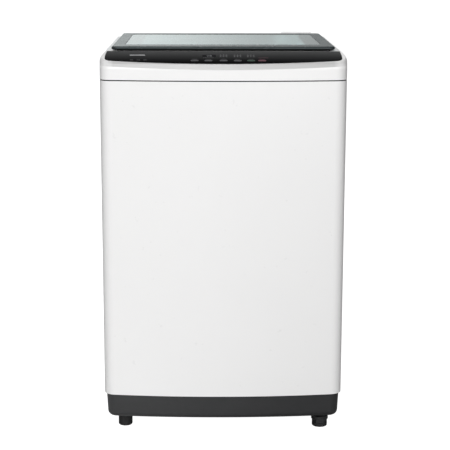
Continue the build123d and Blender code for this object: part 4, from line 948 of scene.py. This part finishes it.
def drawn_in(outline, inset):
    """A convex outline, counter-clockwise, moved inwards."""
    moved = []
    count = len(outline)
    for k, point in enumerate(outline):
        before = (point - outline[k - 1]).normalized()
        after = (outline[(k + 1) % count] - point).normalized()
        inward = Z_AXIS.cross(before) + Z_AXIS.cross(after)
        moved.append(point + inward * (inset / (1 + before.dot(after))))
    return moved


def make_seam_shadow_strip():
    """A near-black strip of painted shade in the gap between the cabinet and its top cover, where that gap
    lies in shadow.
    """
    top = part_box("cabinet_wrap")[1].z
    outline = outer_outline("cabinet_wrap", top - RIM_DEPTH)
    outer, inner = drawn_in(outline, SEAM_OUTER), drawn_in(outline, SEAM_INNER)
    bm = bmesh.new()
    rings = []
    low, high = top - SEAM_BELOW, top + SEAM_ABOVE
    for ring, height in ((outer, low), (outer, high), (inner, high), (inner, low)):
        rings.append([bm.verts.new(p + Z_AXIS * height) for p in ring])
    count = len(outline)
    for a, b in zip(rings, rings[1:] + rings[:1]):
        for k in range(count):
            bm.faces.new((a[k], a[(k + 1) % count], b[(k + 1) % count], b[k]))
    add_piece("seam_shadow_strip", bm, GAP_SHADOW_BLACK, "cabinet")


def make_lid_gap_shadow():
    """A near-black strip of painted shade under the lid's front edge, which fills the gap above the deck
    where it lies in shadow.
    """
    low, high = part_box("lid_frame")
    deck = surface_under("top_cover", 0, low.y + DECK_PROBE)[0].z
    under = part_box("lid_bumpers")[1].z
    front = low.y + LID_SHADOW_SETBACK
    half = (high.x - low.x) / 2 - LID_SHADOW_SHORT
    profile = [(0, under - deck + 1.5 * MM), (0, 1.1 * MM), (0.5 * MM, 0.5 * MM), (1.6 * MM, 0.35 * MM),
               (2.6 * MM, 0.6 * MM), (3.0 * MM, 1.2 * MM), (3.0 * MM, under - deck + 0.6 * MM)]
    bm = bmesh.new()
    ends = [[bm.verts.new((x, front + y, deck + z)) for y, z in profile] for x in (-half, half)]
    count = len(profile)
    for k in range(count):
        bm.faces.new((ends[0][k], ends[0][(k + 1) % count], ends[1][(k + 1) % count], ends[1][k]))
    bm.faces.new(ends[0][::-1])
    bm.faces.new(ends[1])
    add_piece("lid_gap_shadow", bm, GAP_SHADOW_BLACK, "lid")


def make_screw_cross_shadows():
    """A dark cross of painted shade in the head of each screw of the rear cover, where its recess would lie
    in shadow.
    """
    bm = bmesh.new()
    for low, high in islands("rear_cover_screws"):
        middle = (low + high) / 2
        centre = Vector((middle.x, high.y - CROSS_SUNK, middle.z))
        add_cross(bm, centre, X_AXIS, Z_AXIS, Y_AXIS * CROSS_LIFT, CROSS_ARM, CROSS_WIDTH)
    add_piece("screw_cross_shadows", bm, LOOKS["dark_paint"], "cabinet")


def make_thread():
    """The pipe thread on the inlet nozzle, thinning out at its first and last turn."""
    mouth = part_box("inlet_valve")[1].y
    mount = next(m for m in frame["record"]["mounts"] if m["name"] == "inlet_nozzle")
    radius = mount["dims"]["r_mm"] * MM
    x, _, z = mount["pos_m"]
    start = mouth - THREAD_START
    last = THREAD_TURNS * THREAD_STEPS
    line, radii = [], []
    for k in range(last + 1):
        angle = 2 * math.pi * k / THREAD_STEPS
        back = THREAD_PITCH * k / THREAD_STEPS
        ends = min(1.0, min(k, last - k) / THREAD_STEPS)
        line.append(Vector((x + radius * math.cos(angle), start - back, z + radius * math.sin(angle))))
        radii.append(THREAD_THIN + THREAD_GAIN * ends)
    bm = bmesh.new()
    add_tube(bm, line, radii, 6)
    add_piece("inlet_thread", bm, LOOKS[slot_of["inlet_valve"]], "cabinet")


make_seam_shadow_strip()
make_lid_gap_shadow()
make_screw_cross_shadows()
make_thread()
